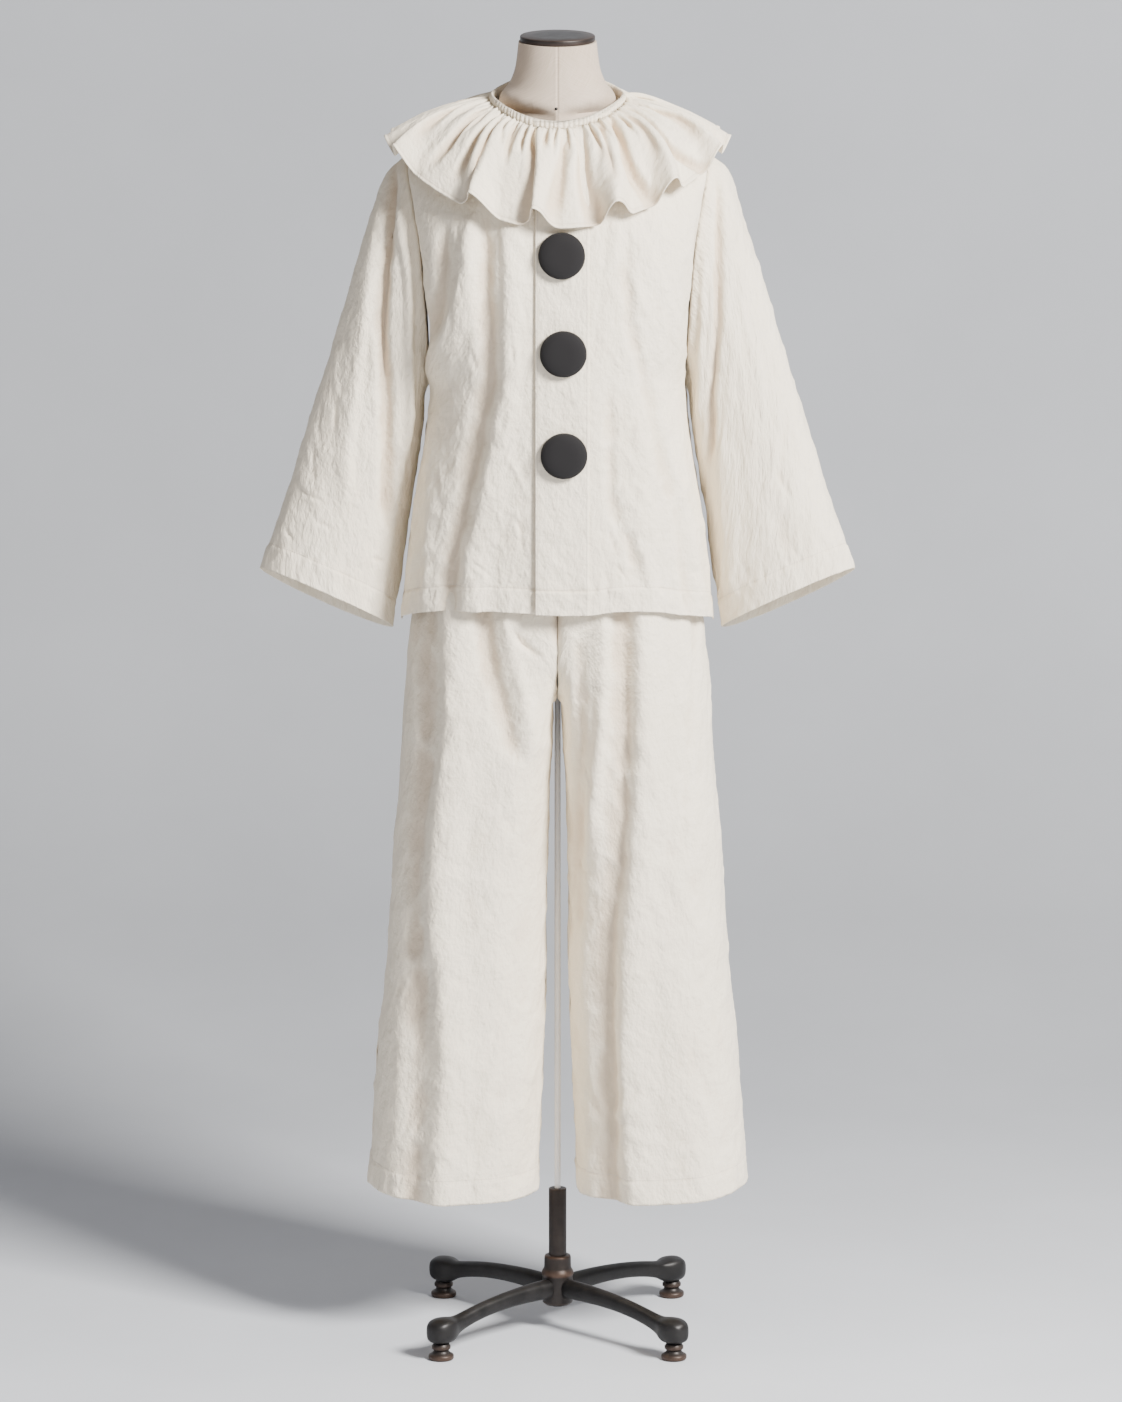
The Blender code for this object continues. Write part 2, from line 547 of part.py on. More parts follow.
def layer_lift(columns, rises):
    """How far the over front stands out over the under front, more towards its loose edge and hem."""
    columns = np.asarray(columns, float)
    over = smooth_step((LIFT_END_X - columns) / (LIFT_END_X - UNDER_FRONT_EDGE_X))
    loose = np.clip((PLACKET_STITCH_X - columns) / (PLACKET_STITCH_X - PLACKET_EDGE_X), 0, 1)
    low = np.clip(1 - np.asarray(rises) / LOOSE_RISE, 0, 1)
    return over[None, :] * (CLOTH + LAYER_GAP) + LOOSE_LIFT * loose[None, :] ** 1.5 * low[:, None]


def make_jacket(cream):
    """Both fronts, the placket band and the back. Returns the over front's outer points."""
    rises = np.array(TORSO_RISES)
    over_columns = np.array(CENTRE_COLUMNS + SIDE_COLUMNS)
    under_columns = tuple(-c for c in reversed(SIDE_COLUMNS)) + (-PLACKET_STITCH_X,) + CENTRE_COLUMNS[:4]
    back_columns = tuple(-c for c in reversed(BACK_COLUMNS[1:])) + BACK_COLUMNS

    grid, normals = torso(under_columns, True, FRONT_FOLDS)
    inner = grid - CLOTH * normals
    edges = ("first_column", "last_row")
    shell("jacket_front_right", pulled(grid, edges, HALF_SEAM), pulled(inner, edges, HALF_SEAM), cream)

    grid, normals = torso(over_columns, True, FRONT_FOLDS)
    lift = layer_lift(over_columns, rises)[..., None]
    outer = grid + lift * normals
    inner = outer - CLOTH * normals
    walls = [
        pulled(pulled(points, ("last_column",), HALF_SEAM), ("last_row",), OVER_FRONT_TOP_DROP)
        for points in (outer, inner)
    ]
    # The shoulder seam stays where the back meets it.
    sewn = over_columns >= NECK_HALF_WIDTH
    for points, source in zip(walls, (outer, inner)):
        points[-1, sewn] = pulled(source, ("last_row",), HALF_SEAM)[-1, sewn]
    shell("jacket_front_left", *walls, cream)

    strip_columns = len(CENTRE_COLUMNS)
    band = outer[:, :strip_columns] + LAYER_GAP * normals[:, :strip_columns]
    top = pulled(band, ("last_row",), PLACKET_TOP_DROP)
    shell("placket_band", top + PLACKET_CLOTH * normals[:, :strip_columns], top, cream)

    back, back_normals = torso(back_columns, False, BACK_FOLDS)
    inner = back - CLOTH * back_normals
    edges = ("first_column", "last_column", "last_row")
    shell("jacket_back", pulled(back, edges, HALF_SEAM), pulled(inner, edges, HALF_SEAM), cream)
    return outer


def make_sleeve(name, side, cream):
    """A wide one-piece sleeve that starts on the armhole's own points."""
    rises = np.array([rise for rise in TORSO_RISES if rise >= UNDERARM_RISE])
    line = table(TORSO_COLUMNS, TORSO_ROWS, rises)
    front = np.stack([line["side_x"], line["armhole_front_y"], line["side_z"]], axis=-1)
    back = np.stack([line["side_x"], line["armhole_back_y"], line["side_z"]], axis=-1)
    # From the shoulder down the front to the underarm, then up the back.
    armhole = np.concatenate([front[::-1], back[1:-1]])
    count = len(armhole)
    turn = np.arange(count) / count
    angle = 2 * math.pi * turn
    reaches = np.array(SLEEVE_REACHES)
    own = table(SLEEVE_COLUMNS, SLEEVE_ROWS, reaches)
    zero = 0 * reaches
    top = np.stack([own["top_x"], zero + SHOULDER_POINT[1], own["top_z"]], axis=-1)
    under = np.stack([own["under_x"], own["under_y"], own["under_z"]], axis=-1)
    middle, half = (top + under) / 2, (top - under) / 2
    depth = np.where(np.sin(angle)[None, :] > 0, -own["depth_front"][:, None], own["depth_back"][:, None])
    grid = middle[:, None] + half[:, None] * np.cos(angle)[None, :, None]
    forward = depth * np.abs(np.sin(angle))[None, :]
    grid[..., 1] += forward
    share = np.clip(1 - reaches / ARMHOLE_FADE, 0, 1) ** 2
    grid = grid + share[:, None, None] * (armhole - grid[0])[None]
    tilt = np.where(forward < 0, CUFF_LIFT_FRONT, CUFF_DROP_BACK)
    grid[..., 2] -= tilt * forward * reaches[:, None] ** 2
    grid[..., 0] += SEAM_GAP
    normals = grid_normals(grid, closed=True)
    height = np.zeros(grid.shape[:2])
    for centre, low, high, half_width, rise in SLEEVE_FOLDS:
        gap = (turn - centre + 0.5) % 1.0 - 0.5
        height += rise * bump(gap, half_width)[None, :] * fade(reaches, low, high)[:, None]
    height[0] = 0
    grid = grid + height[..., None] * normals
    normals = grid_normals(grid, closed=True)
    normals[0] = armhole_normal(grid[0], SLEEVE_UNDER_LEAN)
    inner = grid - CLOTH * normals
    mirror = np.array((side, 1.0, 1.0))
    shell(name, grid * mirror, inner * mirror, cream, closed=True)


# ---------------------------------------------------------------------------
# Trousers
# ---------------------------------------------------------------------------
def leg_grid(side, front):
    """Outer and inner points of one leg's front or back, from hem to waist."""
    heights = np.array(LEG_HEIGHTS)
    own = table(LEG_COLUMNS, LEG_ROWS, heights)
    depth = own["depth_front"] if front else own["depth_back"]
    # Below the crotch a row is half a tube. Above it the row starts on the centre seam, which curves
    # up and away from the crotch.
    climb = np.clip((heights - CROTCH_Z) / (RISE_TOP_Z - CROTCH_Z), 0, 1)
    seam_depth = np.sin(np.sqrt(climb) * (math.pi / 2 - 0.08))
    inner_power = own["inner_square"][:, None] / 2
    start = -np.arccos(np.clip(seam_depth[:, None] ** inner_power, 0, 1))
    turns = np.linspace(0, 1, LEG_COLUMN_COUNT)
    angle = start + (math.pi / 2 - start) * turns[None, :]
    sine, cosine = np.sin(angle), np.cos(angle)
    inside = sine < 0
    forward = np.abs(cosine) ** np.where(inside, 1 / inner_power, 2 / LEG_SQUARENESS)
    # The seam stays open beside the rod and is closed in front of it and behind it.
    open_share = np.clip(1 - forward[:, :1] * depth[:, None] / SEAM_OPEN_DEPTH, 0, 1)
    inner_x = own["inner_x"][:, None]
    inner_x = np.where(heights[:, None] < CROTCH_Z, inner_x, HALF_SEAM + open_share * inner_x)
    crown = own["crown_x"][:, None]
    deep = (np.abs(sine) / np.abs(np.sin(start))) ** (1 / inner_power)
    wide = np.abs(sine) ** (2 / LEG_SQUARENESS)
    outer_x = own["outer_x"][:, None]
    x = crown + np.where(inside, (inner_x - crown) * deep, (outer_x - crown) * wide)
    y = (-1.0 if front else 1.0) * depth[:, None] * forward
    low = np.clip(1 - (heights - TROUSER_HEM_Z) / HEM_RISE_SPAN, 0, 1)[:, None]
    z = heights[:, None] + HEM_OUTER_RISE * low * np.where(inside, 0.0, sine) ** 2
    grid = np.stack([x, y, z], axis=-1)
    facing = 1.0 if front else -1.0
    normals = facing * grid_normals(grid)
    height = np.zeros(x.shape)
    for turn_low, turn_high, bottom, top, half_width, rise in LEG_FOLDS["front" if front else "back"]:
        lean = np.clip((heights - bottom) / (top - bottom), 0, 1)
        centre = turn_low + (turn_high - turn_low) * lean
        across = bump(turns[None, :] - centre[:, None], half_width)
        height += rise * across * fade(heights, bottom, top)[:, None]
    grid = grid + height[..., None] * normals
    normals = facing * grid_normals(grid)
    slope_out = np.gradient(grid[:, -1, 0], grid[:, -1, 2])
    normals[:, -1] = unit(np.stack([1 + 0 * slope_out, 0 * slope_out, -slope_out], axis=-1))
    slope_in = np.gradient(grid[:, 0, 0], grid[:, 0, 2])
    inseam = unit(np.stack([-1 + 0 * slope_in, 0 * slope_in, slope_in], axis=-1))
    along = np.gradient(grid[:, 0], axis=0)
    rise_out = unit(np.stack([0 * slope_in, along[:, 2] * (-facing), along[:, 1] * facing], axis=-1))
    normals[:, 0] = np.where(heights[:, None] < CROTCH_Z, inseam, rise_out)
    normals[heights == CROTCH_Z, 0] = CROTCH_NORMAL
    inner = grid - CLOTH * normals
    # Nothing crosses the middle plane, where the other leg begins.
    inner[..., 0] = np.maximum(inner[..., 0], HALF_SEAM)
    edges = ("first_column", "last_column")
    below = heights <= CROTCH_Z
    outcome = []
    for points in (grid, inner):
        apart = pulled(points, edges, HALF_SEAM)
        keep = points.copy()
        keep[:, -1] = apart[:, -1]
        keep[below, 0] = apart[below, 0]
        outcome.append(keep * np.array((side, 1.0, 1.0)))
    return outcome


def make_trousers(cream):
    """Four leg panels and the waistband."""
    for name, side, front in (
        ("trouser_right_front", -1.0, True),
        ("trouser_right_back", -1.0, False),
        ("trouser_left_front", 1.0, True),
        ("trouser_left_back", 1.0, False),
    ):
        outer, inner = leg_grid(side, front)
        shell(name, outer, inner, cream)
    angle = 2 * math.pi * np.arange(FORM_SIDES) / FORM_SIDES
    heights = TROUSER_TOP_Z + SEAM_GAP + WAISTBAND_HEIGHT * np.array((0.0, 0.5, 1.0))
    line = table(FORM_COLUMNS, FORM_ROWS, heights)
    inner = form_rings(line, angle, heights, 2 * LAYER_GAP)
    outer = form_rings(line, angle, heights, 2 * LAYER_GAP + WAISTBAND_CLOTH)
    shell("waistband", outer, inner, cream, closed=True)


# ---------------------------------------------------------------------------
# Collar
# ---------------------------------------------------------------------------
def ring_values(angle, front, side, back):
    """A size that runs from the sides of the neck to its front and back."""
    end = np.where(np.sin(angle) < 0, front, back)
    return side + (end - side) * np.sin(angle) ** 2


def neck_ring(angle, half_width, front_y, back_y, front_z, side_z, back_z):
    """Points of an egg-shaped ring round the neck."""
    y = np.where(np.sin(angle) < 0, -front_y, back_y) * np.sin(angle)
    return np.stack([half_width * np.cos(angle), y, ring_values(angle, front_z, side_z, back_z)], axis=-1)


def neck_outward(angle):
    """The level direction away from the neck."""
    return np.stack([np.cos(angle), np.sin(angle), 0 * angle], axis=-1)


def make_band(cream):
    """The narrow gathered heading, a closed ring with a raised rib for each gather."""
    count = 2 * BAND_GATHERS
    angle = 2 * math.pi * np.arange(count) / count
    ring = neck_ring(
        angle, RING_HALF_WIDTH, RING_FRONT_Y, RING_BACK_Y, RING_FRONT_Z, RING_SIDE_Z, RING_BACK_Z
    )
    outward = neck_outward(angle)
    rib = np.where(np.arange(count) % 2 == 0, 1.0, -1.0)
    turns = np.radians((90.0, 30.0, -30.0, -90.0, 180.0))
    rows = []
    for turn in turns:
        out = math.cos(turn) * BAND_DEPTH / 2
        up = math.sin(turn) * BAND_HEIGHT / 2
        raised = BAND_RIB * rib * max(0.0, math.cos(turn))
        rows.append(ring + (out + raised)[:, None] * outward + np.array((0.0, 0.0, up)))
    mesh = bmesh.new()
    verts = [[mesh.verts.new(point) for point in row] for row in rows]
    for lower, upper in zip(verts, verts[1:] + verts[:1]):
        strip(mesh, lower, upper, True)
    finish("collar_band", mesh, cream)


def hung(angle, drops):
    """The angle round the neck of each point: straight out at the edge, swung to the side above it."""
    from_front = (np.degrees(angle) + 270) % 360 - 180
    swing = np.sin(math.pi * np.clip(from_front / RUFF_HANG_SPAN, -1, 1))
    return angle[None, :] + np.radians(RUFF_HANG) * swing[None, :] * (1 - drops[:, None])


def flute_height(angle):
    """0 to 1 round the ruff: broad low stretches with a rounded flute at each angle of FLUTES."""
    degrees = np.degrees(angle)
    height = np.zeros(angle.shape)
    for centre, half_width, share in FLUTES:
        gap = (degrees - centre + 180) % 360 - 180
        height += share * bump(gap, half_width)
    return height


def ruff_grid():
    """Outer points of the ruff, from its heading down to its edge."""
    column = 2 * math.pi * np.arange(RUFF_COLUMN_COUNT) / RUFF_COLUMN_COUNT
    share = np.array(RUFF_DROPS)
    angle = hung(column, share)
    outward, upward = neck_outward(angle), np.array((0.0, 0.0, 1.0))
    top = neck_ring(
        angle, RING_HALF_WIDTH, RING_FRONT_Y, RING_BACK_Y, RING_FRONT_Z, RING_SIDE_Z, RING_BACK_Z
    )
    top = top + RUFF_START_OUT * outward - RUFF_START_DOWN * upward
    edge = neck_ring(
        angle, RUFF_HALF_WIDTH, RUFF_FRONT_Y, RUFF_BACK_Y, RUFF_FRONT_Z, RUFF_SIDE_Z, RUFF_BACK_Z
    )
    drops = share[:, None, None]
    slanting = unit(outward + upward)
    crown = RUFF_CROWN * np.sin(math.pi * drops**RUFF_CROWN_BIAS)
    crowned = top * (1 - drops) + edge * drops + crown * slanting
    fronts = np.sin(angle)[..., None] ** 2
    out_share = FLUTE_OUT_SIDE + (FLUTE_OUT_FRONT - FLUTE_OUT_SIDE) * fronts
    up_share = FLUTE_UP_SIDE + (FLUTE_UP_FRONT - FLUTE_UP_SIDE) * fronts
    lean = unit(outward * out_share + upward * up_share)
    flute = FLUTE_HEIGHT * flute_height(column)[None, :] * (share**FLUTE_GROWTH)[:, None]
    pleat = np.cos(RUFF_PLEATS * column)[None, :] * np.sin(math.pi * share**PLEAT_BIAS)[:, None]
    return crowned + flute[..., None] * lean + PLEAT_HEIGHT * pleat[..., None] * slanting


def make_ruff(cream):
    """The gathered ruff, one wavy wall all round the neck."""
    grid = ruff_grid()
    normals = grid_normals(grid, closed=True)
    normals = normals * np.sign((normals * np.array((0.0, 0.0, 1.0))).sum(-1).mean())
    shell("collar_ruff", grid, grid - RUFF_CLOTH * normals, cream, closed=True)


def make_buttons(charcoal, placket):
    """Three domed covered buttons on the placket band."""
    angles = np.linspace(0, math.pi / 2, BUTTON_PROFILE_STEPS + 1)[:-1]
    radii = BUTTON_RADIUS * np.cos(angles) ** 0.55
    heights = BUTTON_EDGE + BUTTON_DOME * np.sin(angles)
    profile = [
        (BUTTON_RADIUS - BUTTON_UNDERCUT, 0.0), (BUTTON_RADIUS, BUTTON_RIM_HEIGHT),
        *zip(radii, heights),
        (BUTTON_CENTRE_RADIUS, BUTTON_EDGE + BUTTON_DOME),
    ]
    centre_line = placket[:, 2]
    for name, (x, z, seat) in BUTTONS.items():
        y = np.interp(z, centre_line[:, 2], centre_line[:, 1])
        slope = np.interp(z, centre_line[:, 2], np.gradient(centre_line[:, 1], centre_line[:, 2]))
        axis = unit(np.array((0.0, -1.0, slope)))
        lift = LAYER_GAP + PLACKET_CLOTH + seat
        centre = np.array((x, y, z)) + lift * axis
        turned(name, profile, BUTTON_SIDES, charcoal, centre, axis)


# ---------------------------------------------------------------------------
# Dress form and stand
# ---------------------------------------------------------------------------
def form_rings(line, angle, heights, out=0.0):
    """Rings of the form's section, moved out by a margin."""
    cosine, sine = np.cos(angle)[None, :], np.sin(angle)[None, :]
    power = 2 / line["squareness"][:, None]
    x = (line["half_x"][:, None] + out) * np.sign(cosine) * np.abs(cosine) ** power
    depth = np.where(sine < 0, -line["front_y"][:, None], line["back_y"][:, None]) + out
    y = depth * np.sign(sine) * np.abs(sine) ** power
    return np.stack([x, y, heights[:, None] + 0 * x], axis=-1)


def make_form(linen, bronze):
    """The limbless torso with its neck, and the turned cap on it."""
    heights = np.array([row[0] for row in FORM_ROWS])
    angle = 2 * math.pi * np.arange(FORM_SIDES) / FORM_SIDES
    line = table(FORM_COLUMNS, FORM_ROWS, heights)
    solid_rings("form_body", form_rings(line, angle, heights), linen)
    turned("form_neck_cap", CAP_PROFILE, 32, bronze, (0.0, 0.0, FORM_TOP_Z + SEAM_GAP))


def leg_bar(name, degrees, bronze):
    """A cast leg with a ridge along its top, rounded into a knuckle over the foot."""
    reach_way = np.array((math.cos(math.radians(degrees)), math.sin(math.radians(degrees)), 0.0))
    side_way = np.array((-reach_way[1], reach_way[0], 0.0))
    # Around the section: across in half widths, and up in shares of the height.
    rings = []
    for reach, under_z, ridge_z, half_width, shoulder in LEG_BAR_ROWS:
        height = ridge_z - under_z
        outline = (
            (0.0, 1.0), (0.62, (1 + shoulder) / 2), (1.0, shoulder), (1.0, 0.25),
            (0.72, 0.0), (-0.72, 0.0), (-1.0, 0.25), (-1.0, shoulder), (-0.62, (1 + shoulder) / 2),
        )
        ring = []
        for across, up in outline:
            aside = across * half_width
            ring.append(reach * reach_way + aside * side_way + np.array((0.0, 0.0, under_z + up * height)))
        rings.append(np.array(ring))
    solid_rings(name, rings, bronze)


def make_stand(bronze, steel):
    """Rod, pole, hub, four legs and four glides."""
    rod = ((ROD_RADIUS, POLE_TOP_Z + SEAM_GAP), (ROD_RADIUS, FORM_BOTTOM_Z - SEAM_GAP))
    turned("stand_rod", rod, 16, steel)
    pole = (
        (POLE_RADIUS, HUB_TOP_Z + SEAM_GAP), (POLE_RADIUS, POLE_TOP_Z - 0.0010),
        (POLE_RADIUS - 0.0010, POLE_TOP_Z),
    )
    turned("stand_pole", pole, 24, bronze)
    turned("stand_hub", HUB_PROFILE, 24, bronze)
    for place, degrees in FEET.items():
        leg_bar(f"stand_leg_{place}", degrees, bronze)
        turn = math.radians(degrees)
        centre = (FOOT_REACH * math.cos(turn), FOOT_REACH * math.sin(turn), 0.0)
        turned(f"stand_glide_{place}", GLIDE_PROFILE, 14, bronze, centre)


def main():
    """Clears the scene and builds every piece."""
    for thing in list(bpy.data.objects):
        bpy.data.objects.remove(thing)
    cream = make_material("natural_cloth", CREAM, 0.92)
    linen = make_material("form_linen", LINEN, 0.90)
    charcoal = make_material("covered_button", CHARCOAL, 0.85)
    bronze = make_material("blackened_bronze", BRONZE, 0.45, 0.85)
    steel = make_material("pale_steel", PALE_STEEL, 0.50)
    over = make_jacket(cream)
    make_sleeve("sleeve_left", 1.0, cream)
    make_sleeve("sleeve_right", -1.0, cream)
    make_band(cream)
    make_ruff(cream)
    make_buttons(charcoal, over)
    make_trousers(cream)
    make_form(linen, bronze)
    make_stand(bronze, steel)


main()
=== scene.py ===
"""Dresses the two-piece clown costume, its gathered ruff, its dress form and its stand.

Metres, +Z up. The costume faces -Y, and left and right are the wearer's: the left is at +X.
"""

import logging
import math
from dataclasses import dataclass, field
from enum import Enum
from typing import ClassVar

import bmesh
import bpy
import numpy as np
from mathutils import Matrix, Vector


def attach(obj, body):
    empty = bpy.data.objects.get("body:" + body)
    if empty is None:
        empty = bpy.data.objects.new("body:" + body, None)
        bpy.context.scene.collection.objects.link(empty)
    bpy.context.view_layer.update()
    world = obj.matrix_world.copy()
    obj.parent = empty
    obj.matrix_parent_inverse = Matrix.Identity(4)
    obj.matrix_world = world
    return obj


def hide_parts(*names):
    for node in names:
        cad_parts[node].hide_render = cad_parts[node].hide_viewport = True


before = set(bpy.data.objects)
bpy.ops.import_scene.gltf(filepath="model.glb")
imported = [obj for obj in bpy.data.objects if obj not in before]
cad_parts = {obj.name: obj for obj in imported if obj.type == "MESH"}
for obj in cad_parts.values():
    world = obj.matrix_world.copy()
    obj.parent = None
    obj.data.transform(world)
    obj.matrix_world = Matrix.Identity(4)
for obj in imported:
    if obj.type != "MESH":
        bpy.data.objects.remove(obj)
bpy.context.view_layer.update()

LOG = logging.getLogger("costume")
BODY = "root"
Points = np.ndarray
Table = tuple[tuple[float, ...], ...]
Triple = tuple[float, float, float]
Colour = Triple
Socket = bpy.types.NodeSocket
UP = Vector((0, 0, 1))


# ---------------------------------------------------------------------------
# Named options
# ---------------------------------------------------------------------------
class Side(Enum):
    """Which half of the costume a piece belongs to, and the sign of its X."""

    LEFT = 1.0
    RIGHT = -1.0


class Face(Enum):
    """Front or back, and the sign that turns a panel's normals outwards."""

    FRONT = 1.0
    BACK = -1.0


class Slot(Enum):
    """The record's material slots."""

    CLOTH = "natural_cloth"
    LINEN = "form_linen"
    BUTTON = "covered_button"
    BRONZE = "blackened_bronze"
    STEEL = "pale_steel"


# ---------------------------------------------------------------------------
# Curves, folds and grids
# ---------------------------------------------------------------------------
def smooth(keys: Points, values: Points, at: Points) -> Points:
    """A curve through values that never swings past them.

    Args:
        keys: Increasing positions of the values.
        values: The values at those positions.
        at: Where the curve is read.

    Returns:
        The curve at each place.
    """
    keys, values, at = (np.asarray(item, float) for item in (keys, values, at))
    steps = np.diff(keys)
    rises = np.diff(values) / steps
    before, after = rises[:-1], rises[1:]
    slopes = np.empty(len(keys))
    slopes[0], slopes[-1] = rises[0], rises[-1]
    total = np.where(before + after == 0, 1.0, before + after)
    slopes[1:-1] = np.where(before * after > 0, 2 * before * after / total, 0.0)
    part = np.clip(np.searchsorted(keys, at, side="right") - 1, 0, len(keys) - 2)
    step = steps[part]
    share = (np.clip(at, keys[0], keys[-1]) - keys[part]) / step
    square, cube = share**2, share**3
    return (
        (2 * cube - 3 * square + 1) * values[part]
        + (cube - 2 * square + share) * step * slopes[part]
        + (3 * square - 2 * cube) * values[part + 1]
        + (cube - square) * step * slopes[part + 1]
    )


def read_table(columns: tuple[str, ...], rows: Table, at: Points) -> dict[str, Points]:
    """Every named column of a table, read as a curve over its first column."""
    data = np.array(rows, float).T
    return {name: smooth(data[0], data[i], at) for i, name in enumerate(columns) if i}


def bump(distance: Points, half_width: float | Points) -> Points:
    """1 on a fold's crest and 0 beyond its half width, with soft shoulders."""
    return np.cos(np.clip(distance / half_width, -1, 1) * math.pi / 2) ** 2


def fade(at: Points, low: float, high: float) -> Points:
    """1 in the middle of a span and 0 at its ends."""
    return bump(at - (low + high) / 2, (high - low) / 2)


def step_up(share: Points) -> Points:
    """0 to 1 with a soft start and end."""
    share = np.clip(share, 0, 1)
    return share**2 * (3 - 2 * share)


def unit(vectors: Points) -> Points:
    """Vectors at length 1."""
    return vectors / np.maximum(np.linalg.norm(vectors, axis=-1, keepdims=True), 1e-12)


def grid_normals(grid: Points, joined: bool = False) -> Points:
    """Unit normals of a grid of points, whose last column may run on into the first."""
    if joined:
        ring = np.concatenate([grid[:, -1:], grid, grid[:, :1]], axis=1)
        across = (ring[:, 2:] - ring[:, :-2]) / 2
    else:
        across = np.gradient(grid, axis=1)
    return unit(np.cross(across, np.gradient(grid, axis=0)))


def lengths(grid: Points, axis: int) -> Points:
    """How far each point lies up its column (axis 0) or along its row (axis 1), on the cloth."""
    steps = np.linalg.norm(np.diff(grid, axis=axis), axis=-1)
    start = np.zeros_like(steps[:1] if axis == 0 else steps[:, :1])
    return np.cumsum(np.concatenate([start, steps], axis=axis), axis=axis)


class Crumple:
    """Repeatable soft noise over a cloth's own coordinates."""

    SIZE = 64
    STRETCH = 1.8  # how much longer a crease is than it is wide

    def __init__(self, seed: int) -> None:
        """Draws the lattice that the noise is read from."""
        self.lattice = np.random.default_rng(seed).random((self.SIZE, self.SIZE))

    def read(self, x: Points, y: Points) -> Points:
        """Soft noise from 0 to 1, at positions counted in cells."""
        column, row = np.floor(x).astype(int), np.floor(y).astype(int)
        along, up = step_up(x - column), step_up(y - row)

        def across(level: Points) -> Points:
            """A row of the lattice, read between its columns."""
            left, right = (self.lattice[level % self.SIZE, k % self.SIZE] for k in (column, column + 1))
            return left * (1 - along) + right * along

        return across(row) * (1 - up) + across(row + 1) * up

    def creases(self, x: Points, y: Points, cell: float, lean: float = 0.0) -> Points:
        """Thin soft ridges that wander over the cloth, from -1 to 1.

        Args:
            x: Position across, in metres.
            y: Position along, in metres.
            cell: The size of a crease's cell, in metres.
            lean: How far the creases lean, in radians from upright.

        Returns:
            The height of the creases at each place.
        """
        turned_x = (x * math.cos(lean) + y * math.sin(lean)) / cell
        turned_y = (y * math.cos(lean) - x * math.sin(lean)) / (cell * self.STRETCH)
        broad = self.read(turned_x * 0.5 + 7.3, turned_y * 0.5 + 3.1)
        sway = 0.9 * broad
        first = 1 - np.abs(2 * self.read(turned_x + sway, turned_y + 11.7) - 1)
        second = 1 - np.abs(2 * self.read(turned_x * 2.1 + 31.7, turned_y * 2.1 + sway) - 1)
        return (first**2 - 0.35) * (0.4 + broad) + 0.4 * (second**2 - 0.35)


@dataclass(frozen=True)
class Fold:
    """A fold, as seen from the front and in millimetres.

    Its line runs down through points of x and z. The flanks to the left and right of the line as
    seen have their own widths, and a height below zero makes it a trough.
    """

    line: tuple[tuple[float, float], ...]
    left: float
    right: float
    height: float
    END_LENGTH: ClassVar[float] = 45.0  # over how much of its line it grows and dies away

    def height_at(self, x: Points, z: Points) -> Points:
        """The fold's height out of the cloth at each place, in metres."""
        places = np.array(self.line[::-1]) / 1000
        height = np.clip(z, places[0, 1], places[-1, 1])
        middle = smooth(places[:, 1], places[:, 0], height)
        slope = (smooth(places[:, 1], places[:, 0], height + 0.002) - middle) / 0.002
        gap = 1000 * (x - middle) / np.sqrt(1 + slope**2)
        beyond = 1000 * np.minimum(z - places[0, 1], places[-1, 1] - z)
        ends = min(self.END_LENGTH, 500 * (places[-1, 1] - places[0, 1]))
        grown = step_up(beyond / ends)
        width = np.where(gap < 0, self.left, self.right) * (0.7 + 0.3 * grown)
        return self.height / 1000 * grown * bump(gap, width)

    def mirrored(self, drop: float = 0.0) -> "Fold":
        """The fold on the other side of the costume, lowered by a drop."""
        return Fold(tuple((-x, z - drop) for x, z in self.line), self.right, self.left, self.height)


def folds(*rows: tuple[float, ...]) -> tuple[Fold, ...]:
    """Folds from rows in mm: left flank, right flank and height, then x and z down the line."""
    return tuple(Fold(tuple(zip(row[3::2], row[4::2])), *row[:3]) for row in rows)


def fold_heights(creases: tuple[Fold, ...], x: Points, z: Points) -> Points:
    """The height of all folds together at each place."""
    return sum((crease.height_at(x, z) for crease in creases), np.zeros(x.shape))


# ---------------------------------------------------------------------------
# Meshes
# ---------------------------------------------------------------------------
def add_object(name: str, data: bpy.types.ID) -> bpy.types.Object:
    """Links a mesh, a light or a camera as an object that stands at the origin."""
    piece = bpy.data.objects.new(name, data)
    bpy.context.scene.collection.objects.link(piece)
    return piece


def finished(name: str, mesh: bmesh.types.BMesh, smooth: bool = True) -> bpy.types.Object:
    """Turns a mesh that has been built into an object."""
    data = bpy.data.meshes.new(name)
    mesh.to_mesh(data)
    mesh.free()
    if smooth:
        data.shade_smooth()
    return add_object(name, data)


def round_off(piece: bpy.types.Object, levels: int) -> None:
    """Rounds a coarse mesh by subdividing it."""
    modifier = piece.modifiers.new("smooth", "SUBSURF")
    modifier.levels = modifier.render_levels = levels


def cap_ends(mesh: bmesh.types.BMesh) -> None:
    """Fills a mesh's open ends and turns its faces outwards."""
    bmesh.ops.holes_fill(mesh, edges=[edge for edge in mesh.edges if edge.is_boundary])
    bmesh.ops.recalc_face_normals(mesh, faces=mesh.faces[:])


